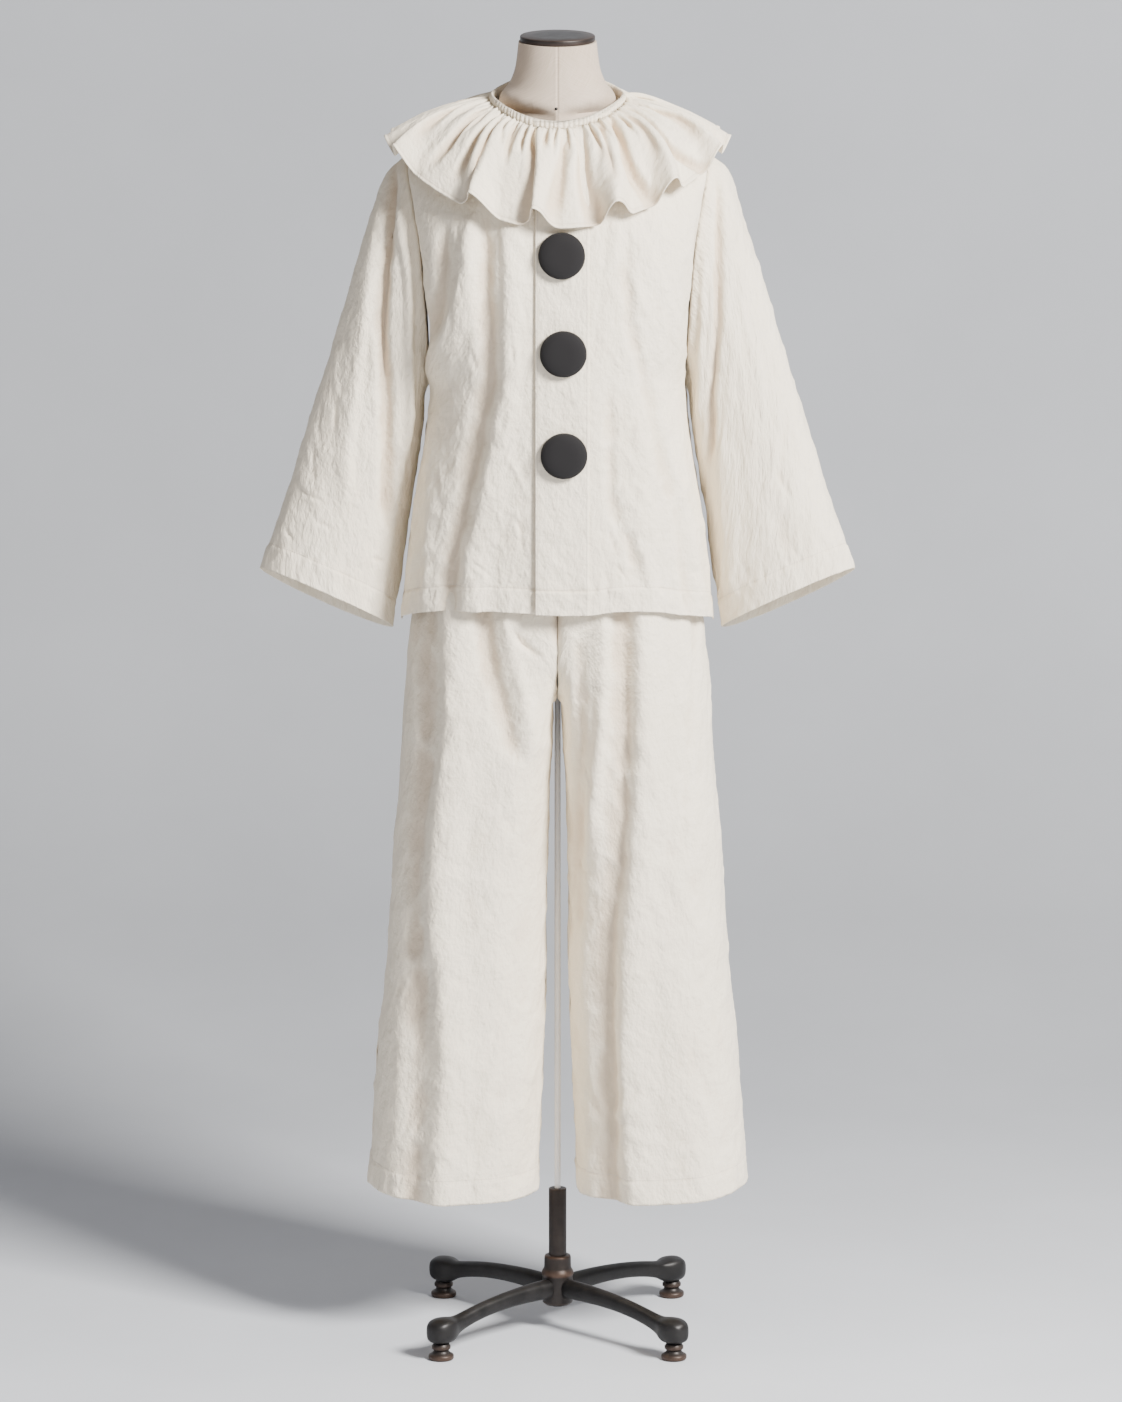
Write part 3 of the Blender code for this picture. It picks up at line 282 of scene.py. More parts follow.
def grid_piece(
    name: str,
    grid: Points,
    across: Points,
    along: Points,
    depth: Points,
    joined: bool = False,
    ring: bool = False,
    flip: bool = False,
) -> bpy.types.Object:
    """A surface whose grid of faces is moved onto the given points.

    Args:
        name: The piece's name.
        grid: Rows and columns of points.
        across: Cloth position across each point, in metres.
        along: Cloth position along each point, in metres.
        depth: How deep in a fold each point lies, from -1 to 1, which the material turns into painted shade.
        joined: Whether the last column repeats the first and is sewn to it.
        ring: Whether the last row repeats the first and is sewn to it.
        flip: Whether the faces are turned round.

    Returns:
        The new object.
    """
    rows, columns = grid.shape[:2]
    mesh = bmesh.new()
    mesh.loops.layers.uv.new("cloth")
    bmesh.ops.create_grid(mesh, x_segments=columns - 1, y_segments=rows - 1, size=1.0, calc_uvs=True)
    data = bpy.data.meshes.new(name)
    mesh.to_mesh(data)
    mesh.free()
    flat = np.empty(len(data.vertices) * 3)
    data.vertices.foreach_get("co", flat)
    flat = flat.reshape(-1, 3)
    column = np.rint((flat[:, 0] + 1) / 2 * (columns - 1)).astype(int)
    row = np.rint((flat[:, 1] + 1) / 2 * (rows - 1)).astype(int)
    data.vertices.foreach_set("co", grid[row, column].ravel())
    corner = np.empty(len(data.loops), int)
    data.loops.foreach_get("vertex_index", corner)
    cloth = np.stack([across[row, column], along[row, column]], axis=-1)[corner]
    data.uv_layers["cloth"].data.foreach_set("uv", cloth.ravel())
    # The fold attribute carries the painted fold shade to the material.
    layer = data.attributes.new("fold", "FLOAT", "POINT")
    layer.data.foreach_set("value", depth[row, column].ravel())
    data.update()
    mesh = bmesh.new()
    mesh.from_mesh(data)
    if joined or ring:
        bmesh.ops.remove_doubles(mesh, verts=mesh.verts[:], dist=1e-6)
    if flip:
        bmesh.ops.reverse_faces(mesh, faces=mesh.faces[:])
    mesh.to_mesh(data)
    mesh.free()
    data.shade_smooth()
    return add_object(name, data)


def thicken(piece: bpy.types.Object, wall: float) -> None:
    """Gives a cloth its wall, inwards from its outer face."""
    modifier = piece.modifiers.new("wall", "SOLIDIFY")
    modifier.thickness = wall
    modifier.offset = -1.0
    modifier.use_rim = True


def close(grid: Points) -> Points:
    """A tube's grid with its first column repeated at the end."""
    return np.concatenate([grid, grid[:, :1]], axis=1)


def ringed(name: str, rings: Points) -> bpy.types.Object:
    """A closed body from rings of points, each with its x, y and z and how worn it is."""
    last, sides = rings.shape[0] - 1, rings.shape[1]
    mesh = bmesh.new()
    worn = mesh.verts.layers.float.new("wear")
    bmesh.ops.create_grid(mesh, x_segments=sides, y_segments=last, size=1.0)
    for vert in mesh.verts:
        place = rings[round((vert.co.y + 1) / 2 * last), round((vert.co.x + 1) / 2 * sides) % sides]
        vert.co, vert[worn] = place[:3], place[3]
    bmesh.ops.remove_doubles(mesh, verts=mesh.verts[:], dist=1e-6)
    cap_ends(mesh)
    return finished(name, mesh)


def spun(name: str, profile: Table, centre: Vector, axis: Vector, steps: int = 64) -> bpy.types.Object:
    """A turned body.

    Args:
        name: The piece's name.
        profile: Rows of radius, height and how worn the ring is if it is, from the bottom up.
        centre: The foot of the axis.
        axis: The direction of the axis.
        steps: How many faces go round.

    Returns:
        The new object.
    """
    turns = 2 * math.pi * np.arange(steps) / steps
    rings = []
    for radius, height, *wear in ((0.0, profile[0][1]), *profile, (0.0, profile[-1][1])):
        level, worn = np.full(steps, height), np.full(steps, wear[0] if wear else 0.0)
        rings.append(np.stack([radius * np.cos(turns), radius * np.sin(turns), level, worn], axis=-1))
    made = ringed(name, np.array(rings))
    made.data.transform(Matrix.Translation(centre) @ UP.rotation_difference(axis).to_matrix().to_4x4())
    made.data.set_sharp_from_angle(angle=math.radians(42))
    return made


def hand_over(piece: bpy.types.Object, finish: "Finish", *nodes: str) -> bpy.types.Object:
    """Gives a piece its finish and its place on the body, and hides the CAD nodes that it replaces.

    Args:
        piece: The piece.
        finish: Its finish.
        nodes: The CAD nodes that it replaces.

    Returns:
        The same piece.
    """
    piece.data.materials.clear()
    piece.data.materials.append(finish.material())
    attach(piece, BODY)
    if nodes:
        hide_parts(*nodes)
    LOG.info("%s: %d faces", piece.name, len(piece.data.polygons))
    return piece


# ---------------------------------------------------------------------------
# Finishes
# ---------------------------------------------------------------------------
class NodeTree:
    """Adds and links the nodes of one material."""

    def __init__(self, name: str) -> None:
        """Makes an empty material with its shader."""
        self.material = bpy.data.materials.new(name)
        self.material.use_nodes = True
        self.tree = self.material.node_tree
        self.shader = self.tree.nodes["Principled BSDF"]

    def feed(self, socket: Socket, value: object) -> None:
        """Links another node's output to an input, or sets the input's own value."""
        if isinstance(value, Socket):
            self.tree.links.new(value, socket)
        else:
            socket.default_value = (*value, 1.0) if socket.type == "RGBA" else value

    def add(self, kind: str, inputs: dict | None = None, **settings: object) -> bpy.types.Node:
        """A new node of one kind, with its inputs and its own settings."""
        node = self.tree.nodes.new(kind)
        for key, value in settings.items():
            setattr(node, key, value)
        for key, value in (inputs or {}).items():
            self.feed(node.inputs[key], value)
        return node

    def finish(self, inputs: dict[str, object]) -> bpy.types.Material:
        """Sets or links the shader's own inputs, and gives back the material."""
        for key, value in inputs.items():
            self.feed(self.shader.inputs[key], value)
        return self.material

    def place(self) -> Socket:
        """The piece's own coordinates."""
        return self.add("ShaderNodeTexCoord").outputs["Object"]

    def attribute(self, name: str) -> Socket:
        """A number that each point of the piece carries."""
        return self.add("ShaderNodeAttribute", attribute_name=name).outputs["Fac"]

    def scaled(self, source: Socket, scale: Triple, turn: float = 0.0) -> Socket:
        """Coordinates stretched and turned for one pattern."""
        inputs = {"Vector": source, "Scale": scale, "Rotation": (0.0, 0.0, turn)}
        return self.add("ShaderNodeMapping", inputs).outputs["Vector"]

    def noise(self, vector: Socket, scale: float, detail: float, rough: float = 0.55) -> Socket:
        """Soft noise on the given coordinates."""
        inputs = {"Vector": vector, "Scale": scale, "Detail": detail, "Roughness": rough}
        return self.add("ShaderNodeTexNoise", inputs).outputs["Fac"]

    def bands(self, vector: Socket, period: float, direction: str, waver: float) -> Socket:
        """Parallel threads with a period in the coordinates' own unit."""
        scale = 2 * math.pi / (20 * period)
        inputs = {"Vector": vector, "Scale": scale, "Distortion": waver, "Detail": 1.0, "Detail Scale": 0.6}
        return self.add("ShaderNodeTexWave", inputs, bands_direction=direction).outputs["Fac"]

    def maths(self, operation: str, first: object, second: object) -> Socket:
        """One sum of two values or sockets."""
        return self.add("ShaderNodeMath", {0: first, 1: second}, operation=operation).outputs[0]

    def ramp(self, source: Socket, stops: tuple[tuple[float, Colour], ...]) -> Socket:
        """Colours read from a value."""
        node = self.add("ShaderNodeValToRGB", {"Fac": source})
        elements = node.color_ramp.elements
        for _ in range(len(stops) - 2):
            elements.new(0.5)
        for element, (place, colour) in zip(elements, stops):
            element.position, element.color = place, (*colour, 1.0)
        return node.outputs["Color"]

    def mixed(self, kind: str, share: object, first: object, second: object) -> Socket:
        """Two colours blended by a share."""
        inputs = {0: share, 6: first, 7: second}
        return self.add("ShaderNodeMix", inputs, data_type="RGBA", blend_type=kind).outputs[2]

    def relief(self, layers: tuple[tuple[Socket, float], ...]) -> Socket:
        """Bumps of several heights, each in metres, one on another."""
        last: dict[str, Socket] = {}
        for source, height in layers:
            node = self.add("ShaderNodeBump", {"Strength": 1.0, "Distance": height, "Height": source, **last})
            last = {"Normal": node.outputs["Normal"]}
        return last["Normal"]


def toned(colour: Colour, share: float) -> Colour:
    """A colour made lighter or darker."""
    return tuple(part * share for part in colour)


@dataclass(frozen=True)
class Finish:
    """A named finish. Its material is made once and shared."""

    name: str
    slot: Slot
    colour: Colour
    roughness: float

    def material(self) -> bpy.types.Material:
        """The finish's material."""
        found = bpy.data.materials.get(self.name)
        return found if found else self.build()

    def build(self) -> bpy.types.Material:
        """Makes the material."""
        raise NotImplementedError


@dataclass(frozen=True)
class WovenCloth(Finish):
    """A matte plain weave with slubs, faint crumples and painted shade, darker and warmer, deep in its folds.
    """

    thread: float = 0.0011
    # deep is the colour of the painted shade, with a warm painted bounce, in troughs, seams and crevices.
    deep: Colour = (0.69, 0.565, 0.425)
    slub: float = 0.065
    sheen: float = 0.12
    crumple: float = 0.0011

    def build(self) -> bpy.types.Material:
        """Makes the cloth's material from its own cloth coordinates."""
        nodes = NodeTree(self.name)
        cloth = nodes.add("ShaderNodeUVMap", uv_map="cloth").outputs["UV"]
        warp = nodes.noise(nodes.scaled(cloth, (620.0, 24.0, 1.0)), 1.0, 3.0, 0.6)
        weft = nodes.noise(nodes.scaled(cloth, (26.0, 640.0, 1.0)), 1.0, 3.0, 0.6)
        threads = nodes.maths("MULTIPLY", nodes.maths("ADD", warp, weft), 0.5)
        cloudy = nodes.noise(nodes.scaled(cloth, (9.0, 7.0, 1.0)), 1.0, 4.0, 0.6)
        parts = (nodes.maths("MULTIPLY", source, share) for source, share in ((threads, 0.6), (cloudy, 0.4)))
        shade = nodes.maths("ADD", *parts)
        light = tuple(min(1.0, part) for part in toned(self.colour, 1 + self.slub))
        dark = tuple(part * (1 - self.slub * weight) for part, weight in zip(self.colour, (1.0, 1.25, 1.7)))
        tone = nodes.ramp(shade, ((0.36, dark), (0.64, light)))
        # Painted shade: where the fold attribute is below zero, the colour is mixed towards deep, up to 85
        # percent.
        sunk = nodes.maths("MAXIMUM", nodes.maths("MULTIPLY", nodes.attribute("fold"), -1.0), 0.0)
        millimetres = nodes.scaled(cloth, (1000.0, 1000.0, 1.0))
        weave = nodes.maths(
            "MULTIPLY", *(nodes.bands(millimetres, self.thread * 1000, way, 1.2) for way in ("X", "Y"))
        )
        soft = nodes.noise(nodes.scaled(cloth, (34.0, 22.0, 1.0), 0.35), 1.0, 3.0, 0.55)
        fine = nodes.noise(nodes.scaled(cloth, (150.0, 95.0, 1.0), -0.3), 1.0, 3.0, 0.6)
        creased = ((soft, self.crumple * 4.4), (fine, self.crumple * 1.9))
        return nodes.finish({
            "Base Color": nodes.mixed("MIX", nodes.maths("MULTIPLY", sunk, 0.85), tone, self.deep),
            "Normal": nodes.relief((*creased, (threads, 0.00028), (weave, 0.00006))),
            "Roughness": self.roughness,
            "Specular IOR Level": 0.22,
            "Sheen Weight": self.sheen,
            "Sheen Roughness": 0.5,
        })


@dataclass(frozen=True)
class DarkBronze(Finish):
    """Cast metal with a dark patina, browner and smoother where hands and floors have rubbed it."""

    worn: Colour = (0.095, 0.056, 0.038)
    metal: float = 0.45

    def build(self) -> bpy.types.Material:
        """Makes the metal's material from object coordinates and the wear of each point."""
        nodes = NodeTree(self.name)
        place = nodes.place()
        cast, patch = nodes.noise(place, 420.0, 4.0, 0.6), nodes.noise(place, 38.0, 4.0, 0.65)
        tone = nodes.ramp(patch, ((0.35, toned(self.colour, 0.7)), (0.70, toned(self.colour, 1.5))))
        spread = nodes.maths("ADD", nodes.maths("MULTIPLY", patch, 0.9), 0.35)
        rubbed = nodes.maths("MULTIPLY", nodes.attribute("wear"), spread)
        return nodes.finish({
            "Base Color": nodes.mixed("MIX", rubbed, tone, self.worn),
            "Roughness": nodes.maths("ADD", nodes.maths("MULTIPLY", patch, 0.22), self.roughness - 0.1),
            "Metallic": self.metal,
            "Normal": nodes.relief(((patch, 0.0004), (cast, 0.00012))),
        })


@dataclass(frozen=True)
class Paint(Finish):
    """Plain matt paint."""

    def build(self) -> bpy.types.Material:
        """Makes the paint's material, barely cloudy on object coordinates."""
        nodes = NodeTree(self.name)
        stops = ((0.3, toned(self.colour, 0.97)), (0.7, self.colour))
        tone = nodes.ramp(nodes.noise(nodes.place(), 60.0, 2.0), stops)
        return nodes.finish({"Base Color": tone, "Roughness": self.roughness})


@dataclass(frozen=True)
class StudioGround(Finish):
    """Pale, slightly cloudy paint, with painted light near the viewer and painted shade where the floor
    sweeps up.

    The painted light and shade is a share of the colour at each distance back and up, added together, in
    metres; it stands in for the light falling off away from the viewer.
    """

    shade: Table = (
        (-1.0, 1.10), (-0.3, 1.08), (0.5, 0.87), (1.1, 0.71), (1.9, 0.57), (2.65, 0.63), (3.6, 0.66),
        (5.5, 0.68),
    )  # fmt: skip

    def build(self) -> bpy.types.Material:
        """Makes the floor's material."""
        nodes = NodeTree(self.name)
        place = nodes.place()
        stops = ((0.3, toned(self.colour, 0.96)), (0.7, toned(self.colour, 1.03)))
        tone = nodes.ramp(nodes.noise(place, 2.6, 5.0, 0.6), stops)
        parts = nodes.add("ShaderNodeSeparateXYZ", {0: place}).outputs
        first, last = self.shade[0][0], self.shade[-1][0]
        back = nodes.maths("SUBTRACT", nodes.maths("ADD", parts["Y"], parts["Z"]), first)
        # A ramp's colours stop at 1, so the shares are kept below it.
        steps = tuple(((at - first) / (last - first), (share / 1.1,) * 3) for at, share in self.shade)
        # Painted light and shade, by distance back and up.
        shade = nodes.ramp(nodes.maths("DIVIDE", back, last - first), steps)
        # Clear from behind, so that the costume's back can be seen through the backdrop.
        behind = nodes.add("ShaderNodeNewGeometry").outputs["Backfacing"]
        clear = nodes.add("ShaderNodeBsdfTransparent").outputs[0]
        both = nodes.add("ShaderNodeMixShader", {0: behind, 1: nodes.shader.outputs[0], 2: clear})
        nodes.feed(nodes.tree.nodes["Material Output"].inputs["Surface"], both.outputs[0])
        return nodes.finish({
            "Base Color": nodes.mixed("MULTIPLY", 1.0, tone, shade),
            "Roughness": self.roughness,
            "Specular IOR Level": 0.15,
        })


NATURAL_CLOTH = WovenCloth("undyed_cotton_linen", Slot.CLOTH, (0.88, 0.795, 0.65), 0.92)
FORM_LINEN = WovenCloth(
    "dress_form_linen", Slot.LINEN, (0.50, 0.415, 0.34), 0.9, 0.0013, (0.42, 0.34, 0.28), 0.16, 0.08, 0.0001
)
CHARCOAL = (0.0125, 0.012, 0.0135)
BUTTON_CLOTH = WovenCloth(
    "charcoal_button_cloth", Slot.BUTTON, CHARCOAL, 0.9, 0.0007, CHARCOAL, 0.25, 0.05, 0.0002
)
THREAD = WovenCloth("sewing_thread", Slot.CLOTH, (0.70, 0.64, 0.56), 0.8, crumple=0.0)
BRONZE = DarkBronze("dark_patina_bronze", Slot.BRONZE, (0.0135, 0.0125, 0.0125), 0.44)
STEEL = Paint("pale_rod_paint", Slot.STEEL, (0.80, 0.80, 0.82), 0.6)
FLOOR = StudioGround("pale_studio_floor", Slot.CLOTH, (0.63, 0.65, 0.69), 0.85)


# ---------------------------------------------------------------------------
# Sizes of the costume, the form and the stand
# ---------------------------------------------------------------------------
HEM_SIDE_Z = 0.969
SHOULDER_POINT = (0.194, 0.004, 1.590)
NECK_HALF_WIDTH = 0.0855
NECK_SEAM_Z = 1.6576  # height of the jacket's neckline at the shoulder seam
UNDERARM_RISE = 0.58

PLACKET_EDGE_X = -0.029  # edge of the over front
PLACKET_STITCH_X = 0.041
UNDER_FRONT_EDGE_X = 0.035
LIFT_END_X = 0.080  # where the over front lies back on the body
SIDE_START_X = 0.150  # an edge further out than this is a side seam and armhole
LOOSE_LIFT = 0.0035  # how far its edge stands off at the hem
LOOSE_RISE = 0.75  # up to where it does

CROTCH_Z = 0.868
RISE_TOP_Z = 0.985  # where the centre seams become straight
TROUSER_TOP_Z = 1.1340
SEAM_OPEN_DEPTH = 0.022  # how far from the rod, front and back, the crotch seam is open
HEM_RISE_SPAN = 0.10  # height over which the rise of the hem's outer side dies out
TROUSER_HEM_Z = 0.199

BUTTON_RADIUS = 0.0305
BUTTON_DOME = 0.0085
BUTTON_EDGE = 0.0055
BUTTON_UNDERCUT = 0.0030  # how much narrower its back is
BUTTON_RIM_HEIGHT = 0.0025

ROD_RADIUS = 0.004
POLE_RADIUS = 0.0118
POLE_TOP_Z = 0.1930
HUB_TOP_Z = 0.1010
FOOT_REACH = 0.2178  # from the pole's axis to a foot's axis
# Torso of the jacket from hem (rise 0) to neckline and shoulder seam (rise 1): the side line, which
# above the underarm is the armhole, and the centre lines of front and back.
TORSO_COLUMNS = (
    "rise", "side_x", "side_z", "armhole_front_y", "armhole_back_y",
    "front_y", "front_z", "back_y", "back_z",
)
TORSO_ROWS = (
    (0.00, 0.2060, HEM_SIDE_Z, 0.000, 0.000, -0.1250, 1.000, 0.1220, 0.972),
    (0.06, 0.2040, 0.9990, 0.000, 0.000, -0.1255, 1.029, 0.1215, 1.002),
    (0.18, 0.1985, 1.0580, 0.000, 0.000, -0.1280, 1.084, 0.1190, 1.063),
    (0.32, 0.1885, 1.1300, 0.000, 0.000, -0.1320, 1.153, 0.1165, 1.139),
    (0.46, 0.1755, 1.2080, 0.000, 0.000, -0.1365, 1.228, 0.1155, 1.222),
    (0.54, 0.1690, 1.2600, 0.000, 0.000, -0.1395, 1.278, 0.1165, 1.278),
    (0.58, 0.1668, 1.2900, 0.000, 0.000, -0.1410, 1.305, 0.1180, 1.308),
    (0.66, 0.1695, 1.3480, -0.034, 0.040, -0.1425, 1.368, 0.1220, 1.378),
    (0.74, 0.1735, 1.4080, -0.050, 0.060, -0.1415, 1.430, 0.1250, 1.448),
    (0.82, 0.1785, 1.4700, -0.055, 0.070, -0.1355, 1.495, 0.1215, 1.522),
    (0.90, 0.1880, 1.5320, -0.045, 0.056, -0.1205, 1.555, 0.1085, 1.592),
    (0.96, 0.1950, 1.5730, -0.022, 0.030, -0.0990, 1.603, 0.0860, 1.645),
    (1.00, *SHOULDER_POINT[::2], SHOULDER_POINT[1], SHOULDER_POINT[1], -0.0790, 1.6336, 0.0640, 1.6751),
)
# How far the front hem rises at each place across it, in mm, and how high up the wave reaches.
HEM_LINE = (
    (-212, 0.0), (-176, 3.2), (-141, 4.9), (-98, 4.6), (-41, 2.3), (0, 0.6), (45, 0.0), (74, 3.7),
    (104, 4.3), (131, 3.4), (160, -1.0), (186, -1.6), (212, 0.0),
)  # fmt: skip
HEM_WAVE_HEIGHT = 0.10
# The rises of the armhole's own points, which the sleeve is set on.
ARMHOLE_RISES = (UNDERARM_RISE, 0.61, 0.65, 0.70, 0.75, 0.80, 0.85, 0.90, 0.945, 0.98, 1.0)
TORSO_SQUARENESS = 2.25
# The torso bends in over the shoulders from this rise up, later and faster in y than in z.
BEND_RISE, BEND_IN, BEND_UP = 0.70, 4.0, 1.6

# The sleeve from armhole (reach 0) to cuff (reach 1): its top line, its under line and its depths.
SLEEVE_COLUMNS = ("reach", "top_x", "top_z", "under_x", "under_y", "under_z", "depth_front", "depth_back")
SLEEVE_ROWS = (
    (0.00, 0.1940, 1.5900, 0.1668, 0.000, 1.2900, 0.057, 0.068),
    (0.07, 0.2215, 1.5680, 0.1740, 0.006, 1.2640, 0.060, 0.070),
    (0.18, 0.2440, 1.5040, 0.1772, 0.012, 1.2240, 0.061, 0.070),
    (0.33, 0.2700, 1.4200, 0.1850, 0.018, 1.1700, 0.061, 0.068),
    (0.47, 0.2945, 1.3370, 0.1935, 0.022, 1.1200, 0.060, 0.066),
    (0.63, 0.3235, 1.2440, 0.2010, 0.024, 1.0650, 0.060, 0.064),
    (0.79, 0.3515, 1.1500, 0.2080, 0.024, 1.0150, 0.060, 0.063),
    (0.92, 0.3765, 1.0780, 0.2155, 0.024, 0.9760, 0.060, 0.062),
    (1.00, 0.3905, 1.0360, 0.2180, 0.024, 0.9540, 0.060, 0.062),
)
ARMHOLE_FADE = 0.45  # reach at which the sleeve's own section has taken over
CUFF_LIFT_FRONT = 0.30
CUFF_DROP_BACK = 0.36
# Broad folds behind a sleeve: turn round it (0 at the top line, 0.5 under the arm), the reach where
# each starts and ends, half width in turns and height.
SLEEVE_FOLDS = ((0.66, 0.0, 0.8, 0.06, -0.005), (0.8, 0.2, 1.2, 0.06, 0.004))
# A trouser leg by height: its inner and outer edge and its depths from the side seam.
# crown_x is where the front and back stand furthest out, and inner_square is how flat the inner
# thigh is.
LEG_COLUMNS = ("z", "inner_x", "outer_x", "depth_front", "depth_back", "crown_x", "inner_square")
LEG_ROWS = (
    (TROUSER_HEM_Z, 0.0255, 0.2520, 0.1080, 0.1080, 0.1390, 2.3),
    (0.2440, 0.0245, 0.2485, 0.1075, 0.1075, 0.1365, 2.3),
    (0.3180, 0.0215, 0.2440, 0.1065, 0.1070, 0.1330, 2.3),
    (0.4080, 0.0182, 0.2370, 0.1055, 0.1065, 0.1275, 2.3),
    (0.4970, 0.0152, 0.2270, 0.1050, 0.1060, 0.1210, 2.3),
    (0.6150, 0.0148, 0.2190, 0.1050, 0.1065, 0.1150, 2.4),
    (0.6830, 0.0135, 0.2145, 0.1055, 0.1080, 0.1080, 2.6),
    (0.7620, 0.0105, 0.2072, 0.1065, 0.1095, 0.0980, 2.9),
    (0.8200, 0.0072, 0.2040, 0.1075, 0.1105, 0.0880, 3.2),
    (CROTCH_Z, 0.0056, 0.2012, 0.1080, 0.1115, 0.0760, 3.4),
    (0.9200, 0.0056, 0.1970, 0.1080, 0.1115, 0.0590, 3.4),
    (0.9680, 0.0056, 0.1925, 0.1075, 0.1105, 0.0420, 3.2),
    (1.0200, 0.0056, 0.1800, 0.1050, 0.1070, 0.0240, 2.8),
    (1.0700, 0.0056, 0.1600, 0.0995, 0.1020, 0.0090, 2.4),
    (TROUSER_TOP_Z, 0.0056, 0.1330, 0.0930, 0.0930, 0.0010, 2.2),
)
LEG_SQUARENESS = 2.3
HEM_OUTER_RISE = 0.010  # the trouser hem is a little higher at the side seam
# The neck ring that band, ruff and jacket share, by angle round the neck (front is -90 degrees).
RING_HALF_WIDTH = 0.0860
RING_FRONT_Y, RING_BACK_Y = -0.0790, 0.0640
RING_ZS = (1.6400, 1.6640, 1.6815)  # in front, at the side and behind
BAND_HEIGHT, BAND_DEPTH = 0.0120, 0.0050
RUFF_HALF_WIDTH = 0.2195
RUFF_YS, RUFF_ZS = (-0.1500, 0.1430), (1.5168, 1.5990, 1.5610)
RUFF_START_OUT, RUFF_START_DOWN = 0.0032, 0.0036  # from the middle of the band
# How far the ruff arches above a straight line, and how near the neck.
RUFF_CROWN, RUFF_CROWN_BIAS = 0.0120, 0.8
# The folds hang rather than stand straight out, so each starts nearer the side than it ends: by this
# many degrees at most, within this many of the front.
RUFF_HANG, RUFF_HANG_SPAN = 21.0, 110.0
FLUTE_OUT_SIDE, FLUTE_OUT_FRONT = 0.42, 0.58  # which way a flute leans: out and up, at the sides
FLUTE_UP_SIDE, FLUTE_UP_FRONT = 0.91, 0.81  # and in front and behind
FLUTE_HEIGHT, FLUTE_GROWTH = 0.0360, 1.20  # at the edge, and how late it is reached
FLUTE_STEEP, FLUTE_GENTLE = 0.80, 1.15  # how much narrower its clockwise side is, and wider its other
# Each flute's angle and half width in degrees, and its height as a share of FLUTE_HEIGHT.
FLUTES = (
    (-179.0, 11.0, 0.45), (-157.5, 9.5, 0.75), (-118.8, 8.5, 0.90), (-97.7, 7.6, 0.95),
    (-71.5, 7.6, 1.00), (-50.2, 7.8, 0.90), (-22.7, 9.5, 0.75), (-1.0, 10.0, 0.45), (24.0, 11.0, 0.70),
    (48.0, 10.5, 0.85), (71.0, 10.0, 0.95), (95.0, 10.5, 0.85), (118.0, 10.0, 0.95), (141.0, 11.0, 0.75),
    (161.0, 9.5, 0.60),
)
# Valleys between the ruff's folds: degrees at the heading, half-way and at the edge, the share of the
# way down where each starts and ends, half width in degrees and depth in metres.
VALLEYS = (
    (-160.0, -154.0, -153.0, 0.00, 0.90, 5.0, 0.0050), (-136.5, -137.0, -146.0, 0.00, 0.95, 4.2, 0.0062),
    (-127.0, -125.5, -131.5, 0.00, 0.95, 3.6, 0.0050), (-123.0, -118.5, -122.0, 0.00, 1.30, 3.2, 0.0052),
    (-117.5, -111.0, -108.0, 0.00, 0.36, 2.2, 0.0030), (-111.0, -109.5, -110.0, 0.00, 0.56, 2.6, 0.0040),
    (-105.9, -103.5, -103.0, 0.00, 0.42, 2.0, 0.0026), (-101.5, -99.5, -101.5, 0.00, 1.30, 3.6, 0.0085),
    (-96.2, -92.5, -90.0, 0.00, 0.32, 2.0, 0.0024), (-87.0, -89.0, -92.0, 0.00, 1.20, 3.6, 0.0052),
    (-82.0, -83.4, -84.0, 0.00, 0.30, 2.0, 0.0024), (-78.6, -80.8, -77.6, 0.00, 1.30, 4.4, 0.0080),
    (-73.0, -74.5, -74.2, 0.00, 0.55, 2.4, 0.0034), (-68.6, -71.8, -70.0, 0.00, 0.90, 3.2, 0.0044),
    (-59.2, -63.8, -56.4, 0.00, 1.30, 3.8, 0.0078), (-53.5, -58.0, -60.0, 0.00, 0.34, 2.0, 0.0028),
    (-50.5, -53.0, -53.4, 0.06, 0.80, 2.8, 0.0040), (-41.0, -43.8, -29.4, 0.00, 1.30, 4.0, 0.0075),
    (-31.0, -26.0, -26.5, 0.00, 0.95, 3.4, 0.0048), (-12.0, -11.0, -9.0, 0.00, 0.90, 4.5, 0.0055),
    (4.0, 6.0, 9.0, 0.00, 1.30, 5.0, 0.0062), (19.0, 17.0, 15.0, 0.00, 0.70, 4.0, 0.0050),
    (33.0, 35.0, 37.0, 0.00, 1.30, 5.0, 0.0070), (45.0, 43.0, 46.0, 0.00, 0.75, 3.6, 0.0045),
    (57.0, 59.0, 61.0, 0.00, 1.30, 4.6, 0.0068), (69.0, 72.0, 74.0, 0.00, 0.65, 3.4, 0.0042),
    (82.0, 83.0, 84.0, 0.00, 1.30, 4.8, 0.0074), (93.0, 95.0, 94.0, 0.00, 0.80, 3.6, 0.0045),
    (106.0, 107.0, 105.0, 0.00, 1.30, 4.6, 0.0070), (119.0, 118.0, 121.0, 0.00, 0.70, 3.4, 0.0044),
    (130.0, 131.0, 129.0, 0.00, 1.30, 4.8, 0.0066), (144.0, 147.0, 151.0, 0.00, 0.90, 4.2, 0.0052),
    (157.0, 160.0, 165.0, 0.00, 0.60, 3.8, 0.0045), (171.0, 172.0, 171.0, 0.00, 1.20, 5.0, 0.0060),
)

